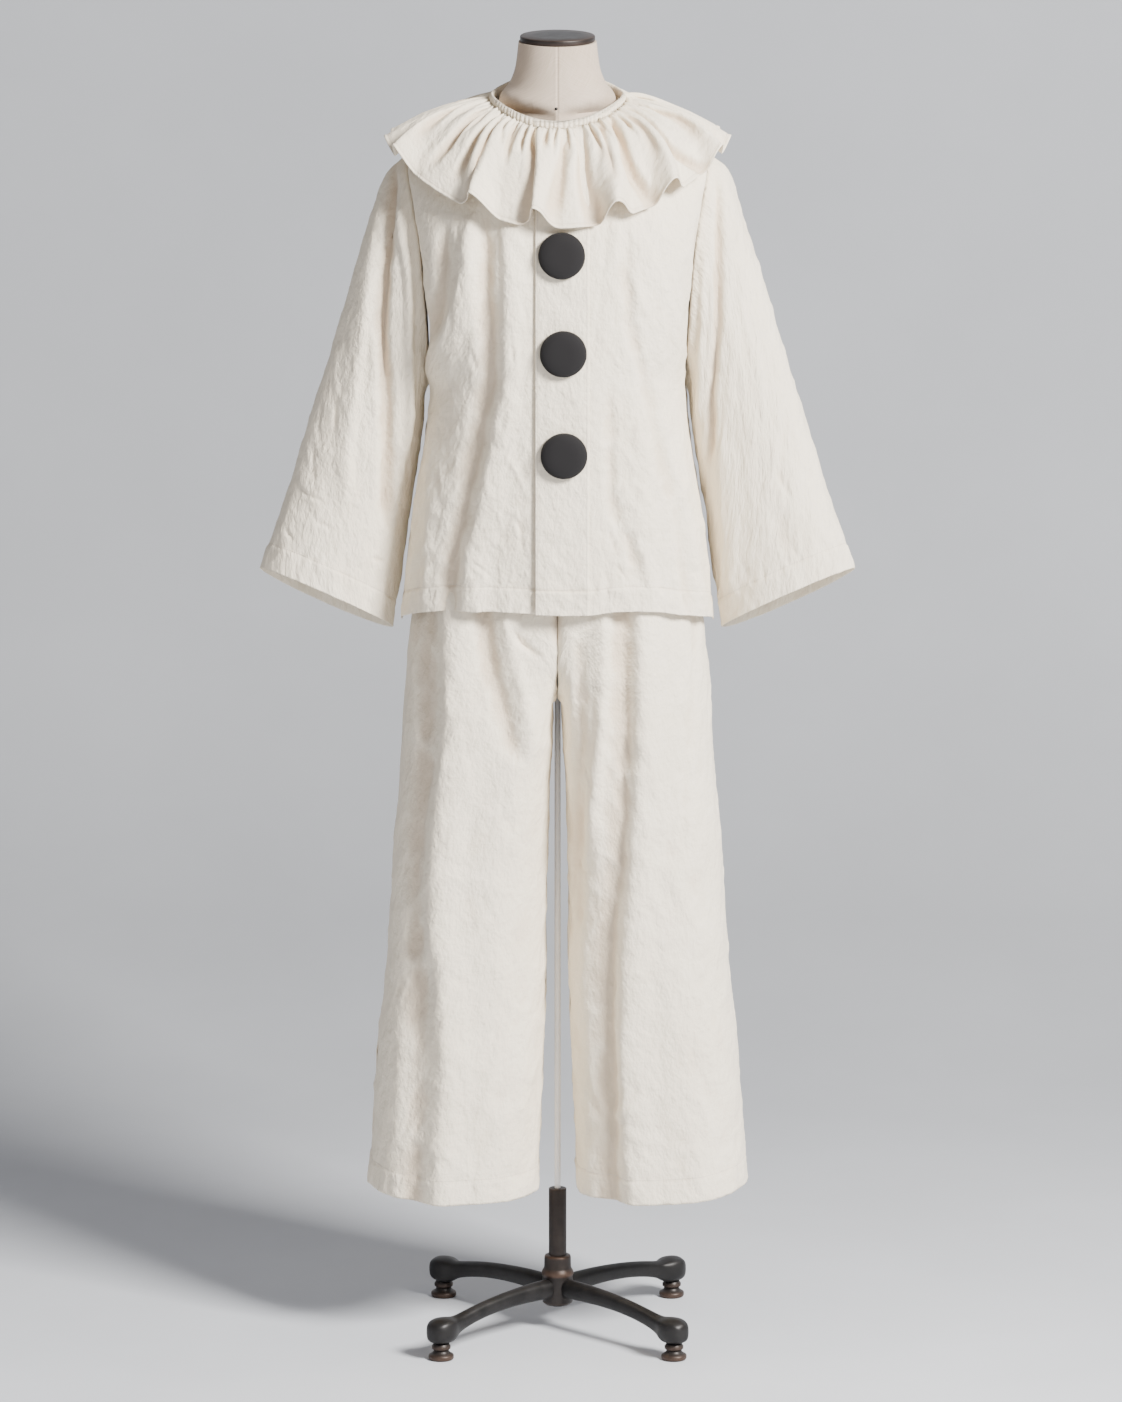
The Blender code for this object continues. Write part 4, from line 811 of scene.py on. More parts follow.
# Dress form by height: half width, depths and squareness of its section.
WAIST_HALF_WIDTH, WAIST_DEPTH = 0.1290, 0.0878
FORM_COLUMNS = ("z", "half_x", "front_y", "back_y", "squareness")
FORM_ROWS = (
    (0.9250, 0.1400, -0.0740, 0.0800, 2.2),
    (0.9450, 0.1540, -0.0860, 0.0900, 2.2),
    (0.9800, 0.1620, -0.0960, 0.0990, 2.2),
    (1.0200, 0.1600, -0.0980, 0.1000, 2.2),
    (1.0800, 0.1430, -0.0920, 0.0950, 2.2),
    (1.1300, WAIST_HALF_WIDTH, -WAIST_DEPTH, WAIST_DEPTH, 2.2),
    (1.1760, WAIST_HALF_WIDTH, -WAIST_DEPTH, WAIST_DEPTH, 2.2),
    (1.2400, 0.1300, -0.0980, 0.0900, 2.2),
    (1.3200, 0.1420, -0.1180, 0.0980, 2.2),
    (1.3900, 0.1500, -0.1260, 0.1050, 2.2),
    (1.4600, 0.1520, -0.1180, 0.1060, 2.1),
    (1.5200, 0.1580, -0.0980, 0.0980, 2.0),
    (1.5650, 0.1680, -0.0760, 0.0840, 1.7),
    (1.5900, 0.1720, -0.0690, 0.0740, 1.35),
    (1.6050, 0.1640, -0.0670, 0.0690, 1.15),
    (1.6300, 0.1244, -0.0655, 0.0620, 1.15),
    (1.6500, 0.0902, -0.0636, 0.0575, 1.12),
    (1.6600, 0.0770, -0.0630, 0.0565, 1.7),
    (1.6700, 0.0740, -0.0610, 0.0560, 2.0),
    (1.6830, 0.0630, -0.0580, 0.0550, 2.0),
    (1.7060, 0.0548, -0.0545, 0.0530, 2.0),
    (1.7380, 0.0508, -0.0510, 0.0510, 2.0),
)

# A cast leg from hub to foot: reach from the pole's axis, heights of its underside and of its
# ridge, half width, and the share of its height at which its shoulders lie.
LEG_BAR_ROWS = (
    (0.0209, 0.0440, 0.0715, 0.0110, 0.72),
    (0.0450, 0.0450, 0.0722, 0.0095, 0.72),
    (0.0900, 0.0462, 0.0700, 0.0086, 0.72),
    (0.1350, 0.0430, 0.0655, 0.0082, 0.72),
    (0.1700, 0.0365, 0.0595, 0.0084, 0.74),
    (0.1920, 0.0300, 0.0545, 0.0100, 0.78),
    (0.2010, 0.0232, 0.0555, 0.0150, 0.82),
    (0.2090, 0.0215, 0.0570, 0.0178, 0.84),
    (0.2180, 0.0215, 0.0572, 0.0185, 0.84),
    (0.2270, 0.0222, 0.0560, 0.0170, 0.82),
    (0.2340, 0.0245, 0.0525, 0.0125, 0.78),
    (0.2370, 0.0290, 0.0480, 0.0060, 0.70),
)
FEET = {"front_right": -135.0, "front_left": -45.0, "back_left": 45.0, "back_right": 135.0}
BUTTONS = ("button_1", "button_2", "button_3")

# Turned shapes with the share that each ring is worn bright: radius, height, wear.
HUB_SHAPE = (
    (0.0166, 0.0330, 0.0), (0.0175, 0.0334, 0.1), (0.0195, 0.0355, 0.3), (0.0203, 0.0368, 0.3),
    (0.0205, 0.0390, 0.1), (0.0205, 0.0715, 0.1), (0.0206, 0.0730, 0.3), (0.0213, 0.0748, 0.9),
    (0.0213, 0.0762, 1.0), (0.0207, 0.0790, 0.8), (0.0190, 0.0818, 0.5), (0.0180, 0.0840, 0.2),
    (0.0178, 0.0960, 0.2), (0.0176, 0.0985, 0.5), (0.0168, 0.1002, 0.9), (0.0150, 0.1010, 0.7),
)
CAP_SHAPE = (
    (0.0475, 0.0, 0.2), (0.0487, 0.0005, 0.3), (0.049, 0.0014, 0.4), (0.049, 0.006, 0.1),
    (0.0487, 0.0069, 0.5), (0.0478, 0.0075, 0.4), (0.03, 0.0079, 0.05), (0.01, 0.0079, 0.0),
)
GLIDE_SHAPE = (
    (0.0140, 0.0, 0.2), (0.0160, 0.0008, 0.6), (0.0168, 0.0024, 0.8), (0.0168, 0.0056, 0.6),
    (0.0162, 0.0068, 0.5), (0.0130, 0.0086, 0.2), (0.0106, 0.0108, 0.1), (0.0101, 0.0124, 0.1),
    (0.0112, 0.0142, 0.3), (0.0125, 0.0152, 0.5), (0.0126, 0.0184, 0.4), (0.0105, 0.0215, 0.1),
)

# Folds and creases of each panel. Left and right are as seen from the front.
RIGHT_FRONT_CREASES = folds(
    (18, 34, 8.8, -111, 1545, -121, 1446, -132, 1405, -146, 1362, -162, 1310, -170, 1274),
    (16, 16, -7.5, -144, 1531, -151, 1446, -158, 1393, -166, 1341),
    (
        22, 17, -10.0, -98, 1545, -93, 1432, -89, 1371, -89, 1317, -98, 1272, -105, 1227, -118, 1171,
        -128, 1122, -136, 1090, -144, 969,
    ),
    (
        15, 38, 7.5, -67, 1545, -64, 1420, -64, 1317, -75, 1261, -84, 1208, -92, 1171, -104, 1114,
        -114, 1074, -120, 969,
    ),
    (12, 14, 3.8, -163, 1248, -170, 1075, -178, 969),
    (4, 5, -1.6, -60, 1380, -58, 1355, -55, 1325),
    (4, 5, -1.6, -49, 1432, -42, 1401, -37, 1377),
    (4, 6, -1.8, -51, 1296, -42, 1274, -33, 1245),
    (5, 6, -2.2, -79, 1147, -59, 1130, -49, 1113, -45, 1073),
    (6, 6, -2.0, -117, 1367, -103, 1309),
    (5, 6, -1.5, -133, 1420, -137, 1360),
    (5, 6, -2.0, -109, 1073, -86, 1046),
)
LEFT_FRONT_CREASES = folds(
    (15, 12, -4.0, 89, 1518, 93, 1408, 104, 1347, 121, 1280, 140, 1198, 158, 1122, 176, 969),
    (9, 8, -2.2, 65, 1518, 52, 1408, 47, 1371, 46, 1341, 49, 1301),
    (15, 13, -4.2, 68, 1308, 68, 1208, 68, 1171, 79, 1122, 92, 1098, 113, 1022),
    (26, 20, 3.2, 107, 1288, 113, 1155, 123, 969),
    (20, 16, 3.2, 154, 1195, 173, 1102, 190, 969),
    (5, 6, -2.0, 60, 1139, 71, 1098, 83, 1067),
    (4, 4, -1.8, 51, 1073, 62, 1055, 72, 1030),
    (4, 4, -1.8, 71, 1073, 84, 1055, 94, 1035),
    (6, 6, -1.8, 173, 1058, 182, 1033),
    (10, 10, 1.8, 133, 1420, 143, 1341),
)
RIGHT_SLEEVE_CREASES = folds(
    (17, 13, -10.8, -213, 1592, -219, 1521, -226, 1436, -229, 1374, -223, 1289, -222, 1190, -222, 1088),
    (9, 9, -5.4, -214, 1585, -219, 1521, -226, 1436, -229, 1354, -224, 1274),
    (8, 9, 6.8, -209, 1552, -204, 1499, -197, 1457, -194, 1416, -194, 1354, -193, 1274, -200, 1181),
    (24, 13, 4.9, -231, 1546, -247, 1433, -258, 1341, -269, 1248, -281, 1114),
    (4, 5, -2.0, -304, 1281, -313, 1234, -309, 1192),
    (4, 4, -2.0, -317, 1221, -321, 1181, -316, 1141),
    (3, 4, -2.2, -342, 1156, -331, 1145, -314, 1137, -294, 1126),
    (3, 4, -2.1, -325, 1117, -308, 1105, -290, 1093),
    (4, 4, -2.2, -362, 1101, -350, 1086, -343, 1073),
    (7, 7, -2.8, -243, 1061, -227, 1046),
    (4, 5, -1.8, -287, 1285, -292, 1248, -290, 1212),
)
LEFT_SLEEVE_CREASES = folds(
    (
        10, 9, -8.8, 206, 1576, 211, 1521, 211, 1478, 210, 1436, 210, 1394, 207, 1353, 204, 1310, 200, 1268,
        201, 1234, 197, 1168,
    ),
    (7, 7, 3.8, 191, 1493, 190, 1407, 187, 1274, 187, 1221),
    (13, 26, 5.0, 217, 1234, 217, 1125, 223, 1080, 222, 980),
    (4, 5, -1.2, 224, 1510, 232, 1436, 241, 1354),
    (4, 5, -2.0, 278, 1258, 288, 1221),
    (4, 6, -2.4, 279, 1201, 292, 1164, 306, 1137, 313, 1120),
    (18, 16, -3.0, 281, 1148, 294, 1101, 307, 1041),
    (4, 4, -2.2, 242, 1061, 247, 1042, 251, 1021),
    (4, 4, -2.2, 265, 1054, 271, 1034, 280, 1010),
    (5, 4, -2.2, 298, 1066, 305, 1047),
    (5, 4, -2.2, 312, 1074, 322, 1047),
    (12, 12, 1.8, 254, 1367, 264, 1301, 270, 1234),
)
RIGHT_LEG_CREASES = folds(
    (24, 46, 10.5, -139, 1060, -139, 850, -152, 740, -160, 620, -152, 500, -147, 400, -154, 290, -160, 150),
    (26, 22, -6.8, -172, 1060, -176, 800, -191, 620, -184, 420, -198, 150),
    (22, 20, -9.8, -104, 1040, -90, 938, -74, 880, -62, 825, -40, 785),
    (13, 18, 5.1, -72, 1040, -58, 938, -43, 880, -30, 798),
    (8, 8, -6.8, -65, 992, -49, 962, -28, 943, -2, 925),
    (4, 5, -2.5, -79, 820, -62, 812, -38, 793),
    (4, 5, -2.0, -83, 784, -65, 773, -45, 761),
    (10, 10, -2.5, -76, 747, -66, 718, -60, 691),
    (6, 6, -1.8, -124, 882, -115, 821, -110, 761),
    (4, 5, -2.2, -150, 523, -134, 507, -115, 498, -97, 488),
    (5, 5, -2.0, -139, 666, -144, 626, -139, 592),
    (7, 7, -2.2, -115, 664, -99, 619, -86, 578),
    (4, 4, -2.2, -152, 295, -140, 275, -121, 261),
    (4, 4, -2.2, -158, 272, -148, 253, -132, 239),
    (6, 6, -2.0, -50, 361, -34, 343),
    (5, 6, -1.9, -135, 415, -132, 375, -116, 340),
)
LEFT_LEG_CREASES = folds(
    (34, 15, -10.5, 88, 1060, 90, 820, 80, 660, 67, 540, 68, 400, 74, 150),
    (15, 48, 8.2, 107, 1060, 108, 850, 103, 720, 99, 620, 90, 520, 89, 400, 94, 290, 102, 150),
    (14, 15, 6.8, 58, 1060, 60, 900, 51, 788, 43, 666),
    (11, 16, -5.2, 29, 1002, 28, 850, 25, 700, 24, 545),
    (8, 8, -2.2, 181, 1016, 180, 917, 176, 852, 170, 788, 166, 724, 166, 666),
    (4, 4, -2.8, 28, 805, 37, 785, 48, 762),
    (4, 4, -2.8, 58, 804, 66, 785, 75, 762),
    (4, 4, -2.2, 41, 785, 45, 761, 47, 743),
    (4, 4, -2.0, 48, 914, 52, 882),
    (4, 4, -2.5, 100, 720, 108, 700, 110, 680),
    (7, 7, -2.2, 18, 664, 26, 650, 52, 634),
    (4, 4, -2.2, 93, 320, 106, 299, 125, 283),
    (4, 4, -2.2, 104, 289, 122, 272, 141, 258),
    (4, 5, -2.1, 88, 381, 98, 361, 114, 343),
    (4, 4, -2.2, 109, 265, 125, 250, 146, 242),
)
BACK_CREASES = folds(
    (34, 20, 7.2, -120, 1600, -128, 1400, -140, 1250, -150, 1100, -158, 960),
    (18, 20, -8.4, -90, 1620, -92, 1420, -100, 1280, -112, 1130, -120, 960),
    (30, 16, 6.0, -50, 1620, -48, 1440, -55, 1300, -62, 1150, -66, 960),
    (20, 18, -6.0, 0, 1640, 6, 1450, 2, 1300, -6, 1150, -4, 960),
    (18, 30, 6.6, 48, 1620, 54, 1440, 62, 1290, 74, 1140, 82, 960),
    (20, 17, -7.8, 92, 1600, 98, 1420, 104, 1280, 118, 1130, 126, 960),
    (20, 32, 6.6, 128, 1590, 136, 1400, 148, 1250, 160, 1110, 168, 960),
    (8, 9, -2.9, -30, 1560, -8, 1530, 22, 1508),
    (7, 8, -2.8, -70, 1250, -50, 1222, -22, 1200),
    (7, 7, -2.5, 30, 1120, 52, 1096, 86, 1080),
    (6, 8, -2.5, -148, 1380, -130, 1350, -104, 1328),
)
LEG_PANELS = (
    (Side.RIGHT, Face.FRONT, RIGHT_LEG_CREASES, 201),
    (Side.RIGHT, Face.BACK, tuple(fold.mirrored(20) for fold in LEFT_LEG_CREASES), 211),
    (Side.LEFT, Face.FRONT, LEFT_LEG_CREASES, 221),
    (Side.LEFT, Face.BACK, tuple(fold.mirrored(30) for fold in RIGHT_LEG_CREASES), 231),
)

# How high or deep a fold is when its painted shade is at its fullest: the painted shade is weaker behind.
FOLD_PAINTED_SHADE = {Face.FRONT: 0.007, Face.BACK: 0.018}



# ---------------------------------------------------------------------------
# Cloth
# ---------------------------------------------------------------------------
class Cloth:
    """A piece of cloth being shaped: a grid of points that its folds, hems and seams move."""

    SEAM_DEPTH, SEAM_REACH = 0.0011, 0.007  # how deep a pressed seam lies, and from how far away it sinks
    PUFF = 0.0007  # how high the cloth stands beside a seam that isn't pressed
    CREASE_PAINTED_SHADE = 0.004  # the height at which a small crease gets as much painted shade as a fold
    DRAWN_DEPTH, DRAWN_TONE = 0.0011, 0.0035  # the line of stitches along a hem: how deep it is drawn in, and the depth at which its painted shade is full

    def __init__(self, grid: Points, face: Face = Face.FRONT, joined: bool = False) -> None:
        """Keeps the smooth points and measures the cloth's own coordinates on them.

        Args:
            grid: Rows of points from the hem up, or from the top down where joined.
            face: Which way the cloth faces.
            joined: Whether the last column runs on into the first.
        """
        self.grid, self.face, self.joined = grid, face, joined
        wrapped = close(grid) if joined else grid
        self.across, self.along = lengths(wrapped, 1), lengths(wrapped, 0)
        self.depth = np.zeros(grid.shape[:2])

    @property
    def normals(self) -> Points:
        """Normals that point out of the worn cloth."""
        return self.face.value * grid_normals(self.grid, self.joined)

    @property
    def x(self) -> Points:
        """X of each point."""
        return self.grid[..., 0]

    @property
    def z(self) -> Points:
        """Z of each point."""
        return self.grid[..., 2]

    def lift(self, height: Points, deep: float = 0.0) -> None:
        """Moves the cloth out along its normals, and counts it towards the painted shade of a fold whose full
        height is deep; the material paints shade only where that count is below zero.
        """
        self.grid = self.grid + height[..., None] * self.normals
        if deep:
            self.depth = self.depth + height / deep

    def crumple(self, seed: int, sizes: tuple[Triple, ...], share: Points | float = 1.0) -> None:
        """Adds small soft creases.

        Args:
            seed: Which creases; each size takes the next one.
            sizes: A cell and a height in metres and a lean in radians for each size of crease.
            share: How much of them each place has.
        """
        size = self.grid.shape[1]
        across, along, around = self.across[:, :size], self.along[:, :size], self.across[:, -1:]
        for number, (cell, height, lean) in enumerate(sizes):
            noise = Crumple(seed + number)
            creases = noise.creases(across, along, cell, lean)
            if self.joined:
                # Two readings, each with its joint where the other is at its strongest.
                turn = across / around
                second = noise.creases((across + around / 2) % around, along, cell, lean)
                creases = creases * np.sin(math.pi * turn) ** 2 + second * np.cos(math.pi * turn) ** 2
            # The small creases get painted shade in their troughs.
            self.lift(height * creases * share, self.CREASE_PAINTED_SHADE)

    def hem(
        self, from_edge: Points, width: float, seed: int, thick: float = 0.0008, pucker: float = 0.0015
    ) -> None:
        """Doubles the cloth along an edge and draws it in along the stitching.

        Args:
            from_edge: Distance of each point from the edge.
            width: The hem's width.
            seed: Which puckers.
            thick: How far the doubled cloth stands out.
            pucker: How high the puckers beside the stitching are.
        """
        size = self.grid.shape[1]
        doubled = thick * step_up((width + 0.0015 - from_edge) / 0.0022)
        drawn = -self.DRAWN_DEPTH * bump(from_edge - width + 0.001, 0.0032)
        noise = Crumple(seed)
        ripple = noise.read(self.across[:, :size] / 0.0085, from_edge / 0.05 + 3.0) - 0.5
        broad = noise.read(self.across[:, :size] / 0.036 + 9.0, from_edge / 0.08) - 0.5
        near = bump(from_edge - width, 0.018) + 0.35 * (from_edge < width)
        self.lift(doubled + near * pucker * (1.5 * ripple + broad))
        # The line of stitching is drawn in and given painted shade.
        self.lift(drawn, self.DRAWN_TONE)

    def press(self, from_edge: Points) -> None:
        """Sinks the cloth into a seam."""
        self.lift(-self.SEAM_DEPTH * (1 - step_up(from_edge / self.SEAM_REACH)))

    def puff(self, from_edge: Points) -> None:
        """Raises the cloth softly along a seam that it meets at an angle, and leaves the seam itself."""
        self.lift(self.PUFF * bump(from_edge - 0.0085, 0.0075))

    def measure(self) -> tuple[float, float, float]:
        """The greatest width and length along the cloth, and its area."""
        grid = close(self.grid) if self.joined else self.grid
        across, along = np.diff(grid, axis=1)[:-1], np.diff(grid, axis=0)[:, :-1]
        area = float(np.linalg.norm(np.cross(across, along), axis=-1).sum())
        return float(lengths(grid, 1).max()), float(lengths(grid, 0).max()), area

    def row_at(self, from_edge: Points, distance: float) -> tuple[Points, Points]:
        """Points and normals along a line at one distance from an edge.

        Args:
            from_edge: Distance of each point from the edge, growing or falling up each column.
            distance: The line's distance.

        Returns:
            A point and a normal for each column.
        """
        normals = self.normals
        places, ways = [], []
        for j in range(self.grid.shape[1]):
            order = np.argsort(from_edge[:, j])
            keys = from_edge[order, j]
            places.append([np.interp(distance, keys, self.grid[order, j, k]) for k in range(3)])
            ways.append([np.interp(distance, keys, normals[order, j, k]) for k in range(3)])
        return np.array(places), unit(np.array(ways))

    def piece(self, name: str, wall: float, nodes: tuple[str, ...], finish: Finish) -> bpy.types.Object:
        """Builds the mesh, gives it its wall and finish, and hands it over.

        Args:
            name: The piece's name.
            wall: The cloth's thickness.
            nodes: The CAD nodes that it stands for.
            finish: Its finish.

        Returns:
            The new object.
        """
        grid, depth = self.grid, np.clip(self.depth, -1, 1)
        LOG.info("%s: %.3f m across, %.3f m long, %.4f square metres", name, *self.measure())
        if self.joined:
            grid, depth = close(grid), np.concatenate([depth, depth[:, :1]], axis=1)
        back = self.face is Face.BACK
        made = grid_piece(name, grid, self.across, self.along, depth, joined=self.joined, flip=back)
        thicken(made, wall)
        return hand_over(made, finish, *nodes)


class Stitching:
    """Rows of short thread stitches, gathered into one mesh for a garment."""

    PITCH, LENGTH, WIDE, HIGH = 0.0034, 0.0024, 0.0006, 0.0005

    def __init__(self) -> None:
        """Starts with no stitches."""
        self.mesh = bmesh.new()

    def run(self, places: Points, ways: Points, joined: bool = False) -> None:
        """Sews along a line.

        Args:
            places: Points of the line on the cloth.
            ways: The cloth's normals there.
            joined: Whether the line runs on into its start.
        """
        if joined:
            places = np.concatenate([places, places[:1]])
            ways = np.concatenate([ways, ways[:1]])
        steps = np.concatenate([[0.0], np.cumsum(np.linalg.norm(np.diff(places, axis=0), axis=1))])
        for at in np.arange(self.PITCH / 2, steps[-1] - self.LENGTH / 2, self.PITCH):
            ends = [
                np.array([np.interp(at + shift, steps, places[:, k]) for k in range(3)])
                for shift in (-self.LENGTH / 2, self.LENGTH / 2)
            ]
            way = np.array([np.interp(at, steps, ways[:, k]) for k in range(3)])
            along = unit(ends[1] - ends[0])
            up = unit(way - along * np.dot(way, along))
            aside = np.cross(up, along)
            turn = Matrix((along, aside, up)).transposed().to_4x4()
            size = Matrix.Diagonal((self.LENGTH, self.WIDE, self.HIGH, 1.0))
            middle = Matrix.Translation((ends[0] + ends[1]) / 2 + 0.0001 * up)
            bmesh.ops.create_cube(self.mesh, size=1.0, matrix=middle @ turn @ size)

    def piece(self, name: str, finish: Finish) -> bpy.types.Object:
        """The finished stitches as one object."""
        return hand_over(finished(name, self.mesh, smooth=False), finish)


def spaced(count: int, first: float) -> Points:
    """Shares from 0 to 1 that are closer together at the start, by the share of an even step."""
    even = np.linspace(0, 1, count)
    return first * even + (1 - first) * even**2


# ---------------------------------------------------------------------------
# Jacket
# ---------------------------------------------------------------------------
def wave_hem(grid: Points) -> Points:
    """A front whose hem rises and falls softly."""
    across, rise = np.array(HEM_LINE).T / 1000
    low = 1 - step_up((grid[..., 2] - grid[0, :, 2]) / HEM_WAVE_HEIGHT)
    waved = grid.copy()
    waved[..., 2] += low * np.interp(grid[..., 0], across, rise)
    return waved


def column_x(columns: Points, side_x: Points) -> Points:
    """X of each column in rows whose side line is at side_x."""
    columns, side_x = columns[None, :], side_x[:, None]
    fixed, widest = PLACKET_STITCH_X, SHOULDER_POINT[0]
    share = (np.abs(columns) - fixed) / (widest - fixed)
    spread = np.sign(columns) * (fixed + (side_x - fixed) * share)
    return np.where(np.abs(columns) <= fixed, columns + 0 * side_x, spread)


def shoulder_row(columns: Points, face: Face) -> tuple[Points, Points]:
    """The neckline and the shoulder seam: y and z at each column."""
    front = face is Face.FRONT
    centre_y = RING_FRONT_Y if front else RING_BACK_Y
    centre_z = TORSO_ROWS[-1][6 if front else 8]
    across = np.abs(columns)
    share = np.sqrt(np.clip(1 - (across / NECK_HALF_WIDTH) ** 2, 0, 1))
    out = np.clip((across - NECK_HALF_WIDTH) / (SHOULDER_POINT[0] - NECK_HALF_WIDTH), 0, 1)
    y = centre_y * share + SHOULDER_POINT[1] * out
    z = NECK_SEAM_Z + (centre_z - NECK_SEAM_Z) * share**2 + (SHOULDER_POINT[2] - NECK_SEAM_Z) * out
    return y, z


def torso(columns: Points, rises: Points, face: Face) -> Points:
    """The jacket's front or back without its creases.

    Args:
        columns: Where each column is, as x on the shoulder row.
        rises: Where each row is, from the hem (0) to the neckline (1).
        face: Front or back.

    Returns:
        A row of points for each rise.
    """
    line = read_table(TORSO_COLUMNS, TORSO_ROWS, rises)
    x = column_x(columns, line["side_x"])
    word = face.name.lower()
    share = x / line["side_x"][:, None]
    bend = 1 - np.clip(1 - np.abs(share) ** TORSO_SQUARENESS, 0, 1) ** (1 / TORSO_SQUARENESS)
    centre_y, centre_z, side_y, side_z = (
        line[key][:, None] for key in (f"{word}_y", f"{word}_z", f"armhole_{word}_y", "side_z")
    )
    y, z = centre_y + (side_y - centre_y) * bend, centre_z + (side_z - centre_z) * bend**1.3
    # The top bends over into the neckline and the shoulder seam.
    top_y, top_z = shoulder_row(columns, face)
    turn = np.clip((rises - BEND_RISE) / (1 - BEND_RISE), 0, 1)[:, None]
    y = y + turn**BEND_IN * (top_y - y[-1])
    z = z + turn**BEND_UP * (top_z - z[-1])
    return np.stack([x, y, z], axis=-1)


@dataclass
class Jacket:
    """Two fronts, a placket band and a back, sewn at the shoulders, the sides and the armholes."""

    wall: float = 0.0012
    placket_wall: float = 0.0009
    hem_width: float = 0.034
    rows: int = 184
    front_columns: int = 122
    back_columns: int = 150
    front_flat: tuple[float, float] = (0.312, 0.712)
    back_flat: tuple[float, float] = (0.545, 0.738)
    placket_flat: tuple[float, float] = (0.074, 0.660)
    seam_clear: float = 0.014  # creases start this far from a seam
    armhole_sink: float = 0.0045  # how deep the lower armhole seam lies beside the sleeve, and the depth at which its painted shade is full
    armhole_reach: float = 0.013
    crevice_span: tuple[float, float] = (1.26, 1.50)
    band_columns: int = 44
    band_stitch: float = 0.0028  # from the band's edges to its rows of stitches
    strain: float = 0.0014  # the slanting creases on the band
    rises: Points = field(init=False)

    def __post_init__(self) -> None:
        """Places the rows, closer together towards the hem."""
        self.rises = spaced(self.rows, 0.45)

    def build(self, thread: Stitching) -> None:
        """Builds the four panels and their stitching."""
        self.under_front(thread)
        self.over_front(thread)
        self.back(thread)

    def dress(self, cloth: Cloth, folds: tuple[Fold, ...], seed: int, calm: Points) -> Points:
        """Creases a panel, presses its seams and turns up its hem.

        Args:
            cloth: The panel.
            folds: Its creases.
            seed: Which small creases it gets.
            calm: Where the cloth is held flat, from 0 to 1.

        Returns:
            How far each point is from the hem's edge.
        """
        gap = np.full(cloth.x.shape, 1.0)
        for edge in (0, -1):
            if abs(cloth.x[0, edge]) > SIDE_START_X:
                gap = np.minimum(gap, np.abs(cloth.across - cloth.across[:, edge : edge + 1 or None]))
        from_top = cloth.along[-1:] - cloth.along
        free = (1 - calm) * (step_up(gap / self.seam_clear) * step_up(from_top / self.seam_clear))
        # Folds and small creases, with painted shade in their troughs.
        cloth.lift(fold_heights(folds, cloth.x, cloth.z) * free, FOLD_PAINTED_SHADE[cloth.face])
        cloth.crumple(seed, ((0.030, 0.0019, 0.5), (0.015, 0.0012, -0.4)), free)
        upper = self.rises[:, None] >= UNDERARM_RISE
        cloth.press(np.where(upper, 1.0, gap))
        cloth.puff(np.where(upper, gap, 1.0))
        # Beside the lower armhole seam the cloth sinks into a crevice with full painted shade.
        beside = 1 - step_up(gap / self.armhole_reach)
        crevice = fade(cloth.z, *self.crevice_span) * np.where(upper, beside, 0.0)
        cloth.lift(-self.armhole_sink * crevice, self.armhole_sink)
        cloth.hem(cloth.along, self.hem_width, seed + 2)
        return cloth.along

    def under_front(self, thread: Stitching) -> None:
        """The wearer's right front, which runs on under the placket."""
        columns = np.linspace(-SHOULDER_POINT[0], UNDER_FRONT_EDGE_X, self.front_columns)
        cloth = Cloth(wave_hem(torso(columns, self.rises, Face.FRONT)))
        calm = step_up((cloth.x + 0.055) / 0.03)
        edge = self.dress(cloth, RIGHT_FRONT_CREASES, 11, calm)
        # The covered edge stays off the front that lies on it.
        cloth.lift(-0.0006 * step_up((cloth.x + 0.036) / 0.006))
        thread.run(*cloth.row_at(edge, self.hem_width))
        made = cloth.piece("jacket-front-right", self.wall, ("jacket_front_right",), NATURAL_CLOTH)

    def over_front(self, thread: Stitching) -> None:
        """The wearer's left front and the placket band on its edge."""
        columns = np.linspace(PLACKET_EDGE_X, SHOULDER_POINT[0], self.front_columns)
        grid = wave_hem(torso(columns, self.rises, Face.FRONT))
        over = step_up((LIFT_END_X - columns) / (LIFT_END_X - UNDER_FRONT_EDGE_X))
        loose = np.clip((PLACKET_STITCH_X - columns) / (PLACKET_STITCH_X - PLACKET_EDGE_X), 0, 1)
        low = np.clip(1 - self.rises / LOOSE_RISE, 0, 1)
        cloth = Cloth(grid)
        cloth.lift(over[None, :] * 0.0019 + LOOSE_LIFT * loose[None, :] ** 1.5 * low[:, None])
        calm = 1 - step_up((cloth.x - 0.036) / 0.045)
        edge = self.dress(cloth, LEFT_FRONT_CREASES, 23, calm)
        beyond = cloth.row_at(edge, self.hem_width)
        past = beyond[0][:, 0] > PLACKET_STITCH_X
        thread.run(beyond[0][past], beyond[1][past])
        self.placket(cloth, columns, thread)
        made = cloth.piece("jacket-front-left", self.wall, ("jacket_front_left",), NATURAL_CLOTH)

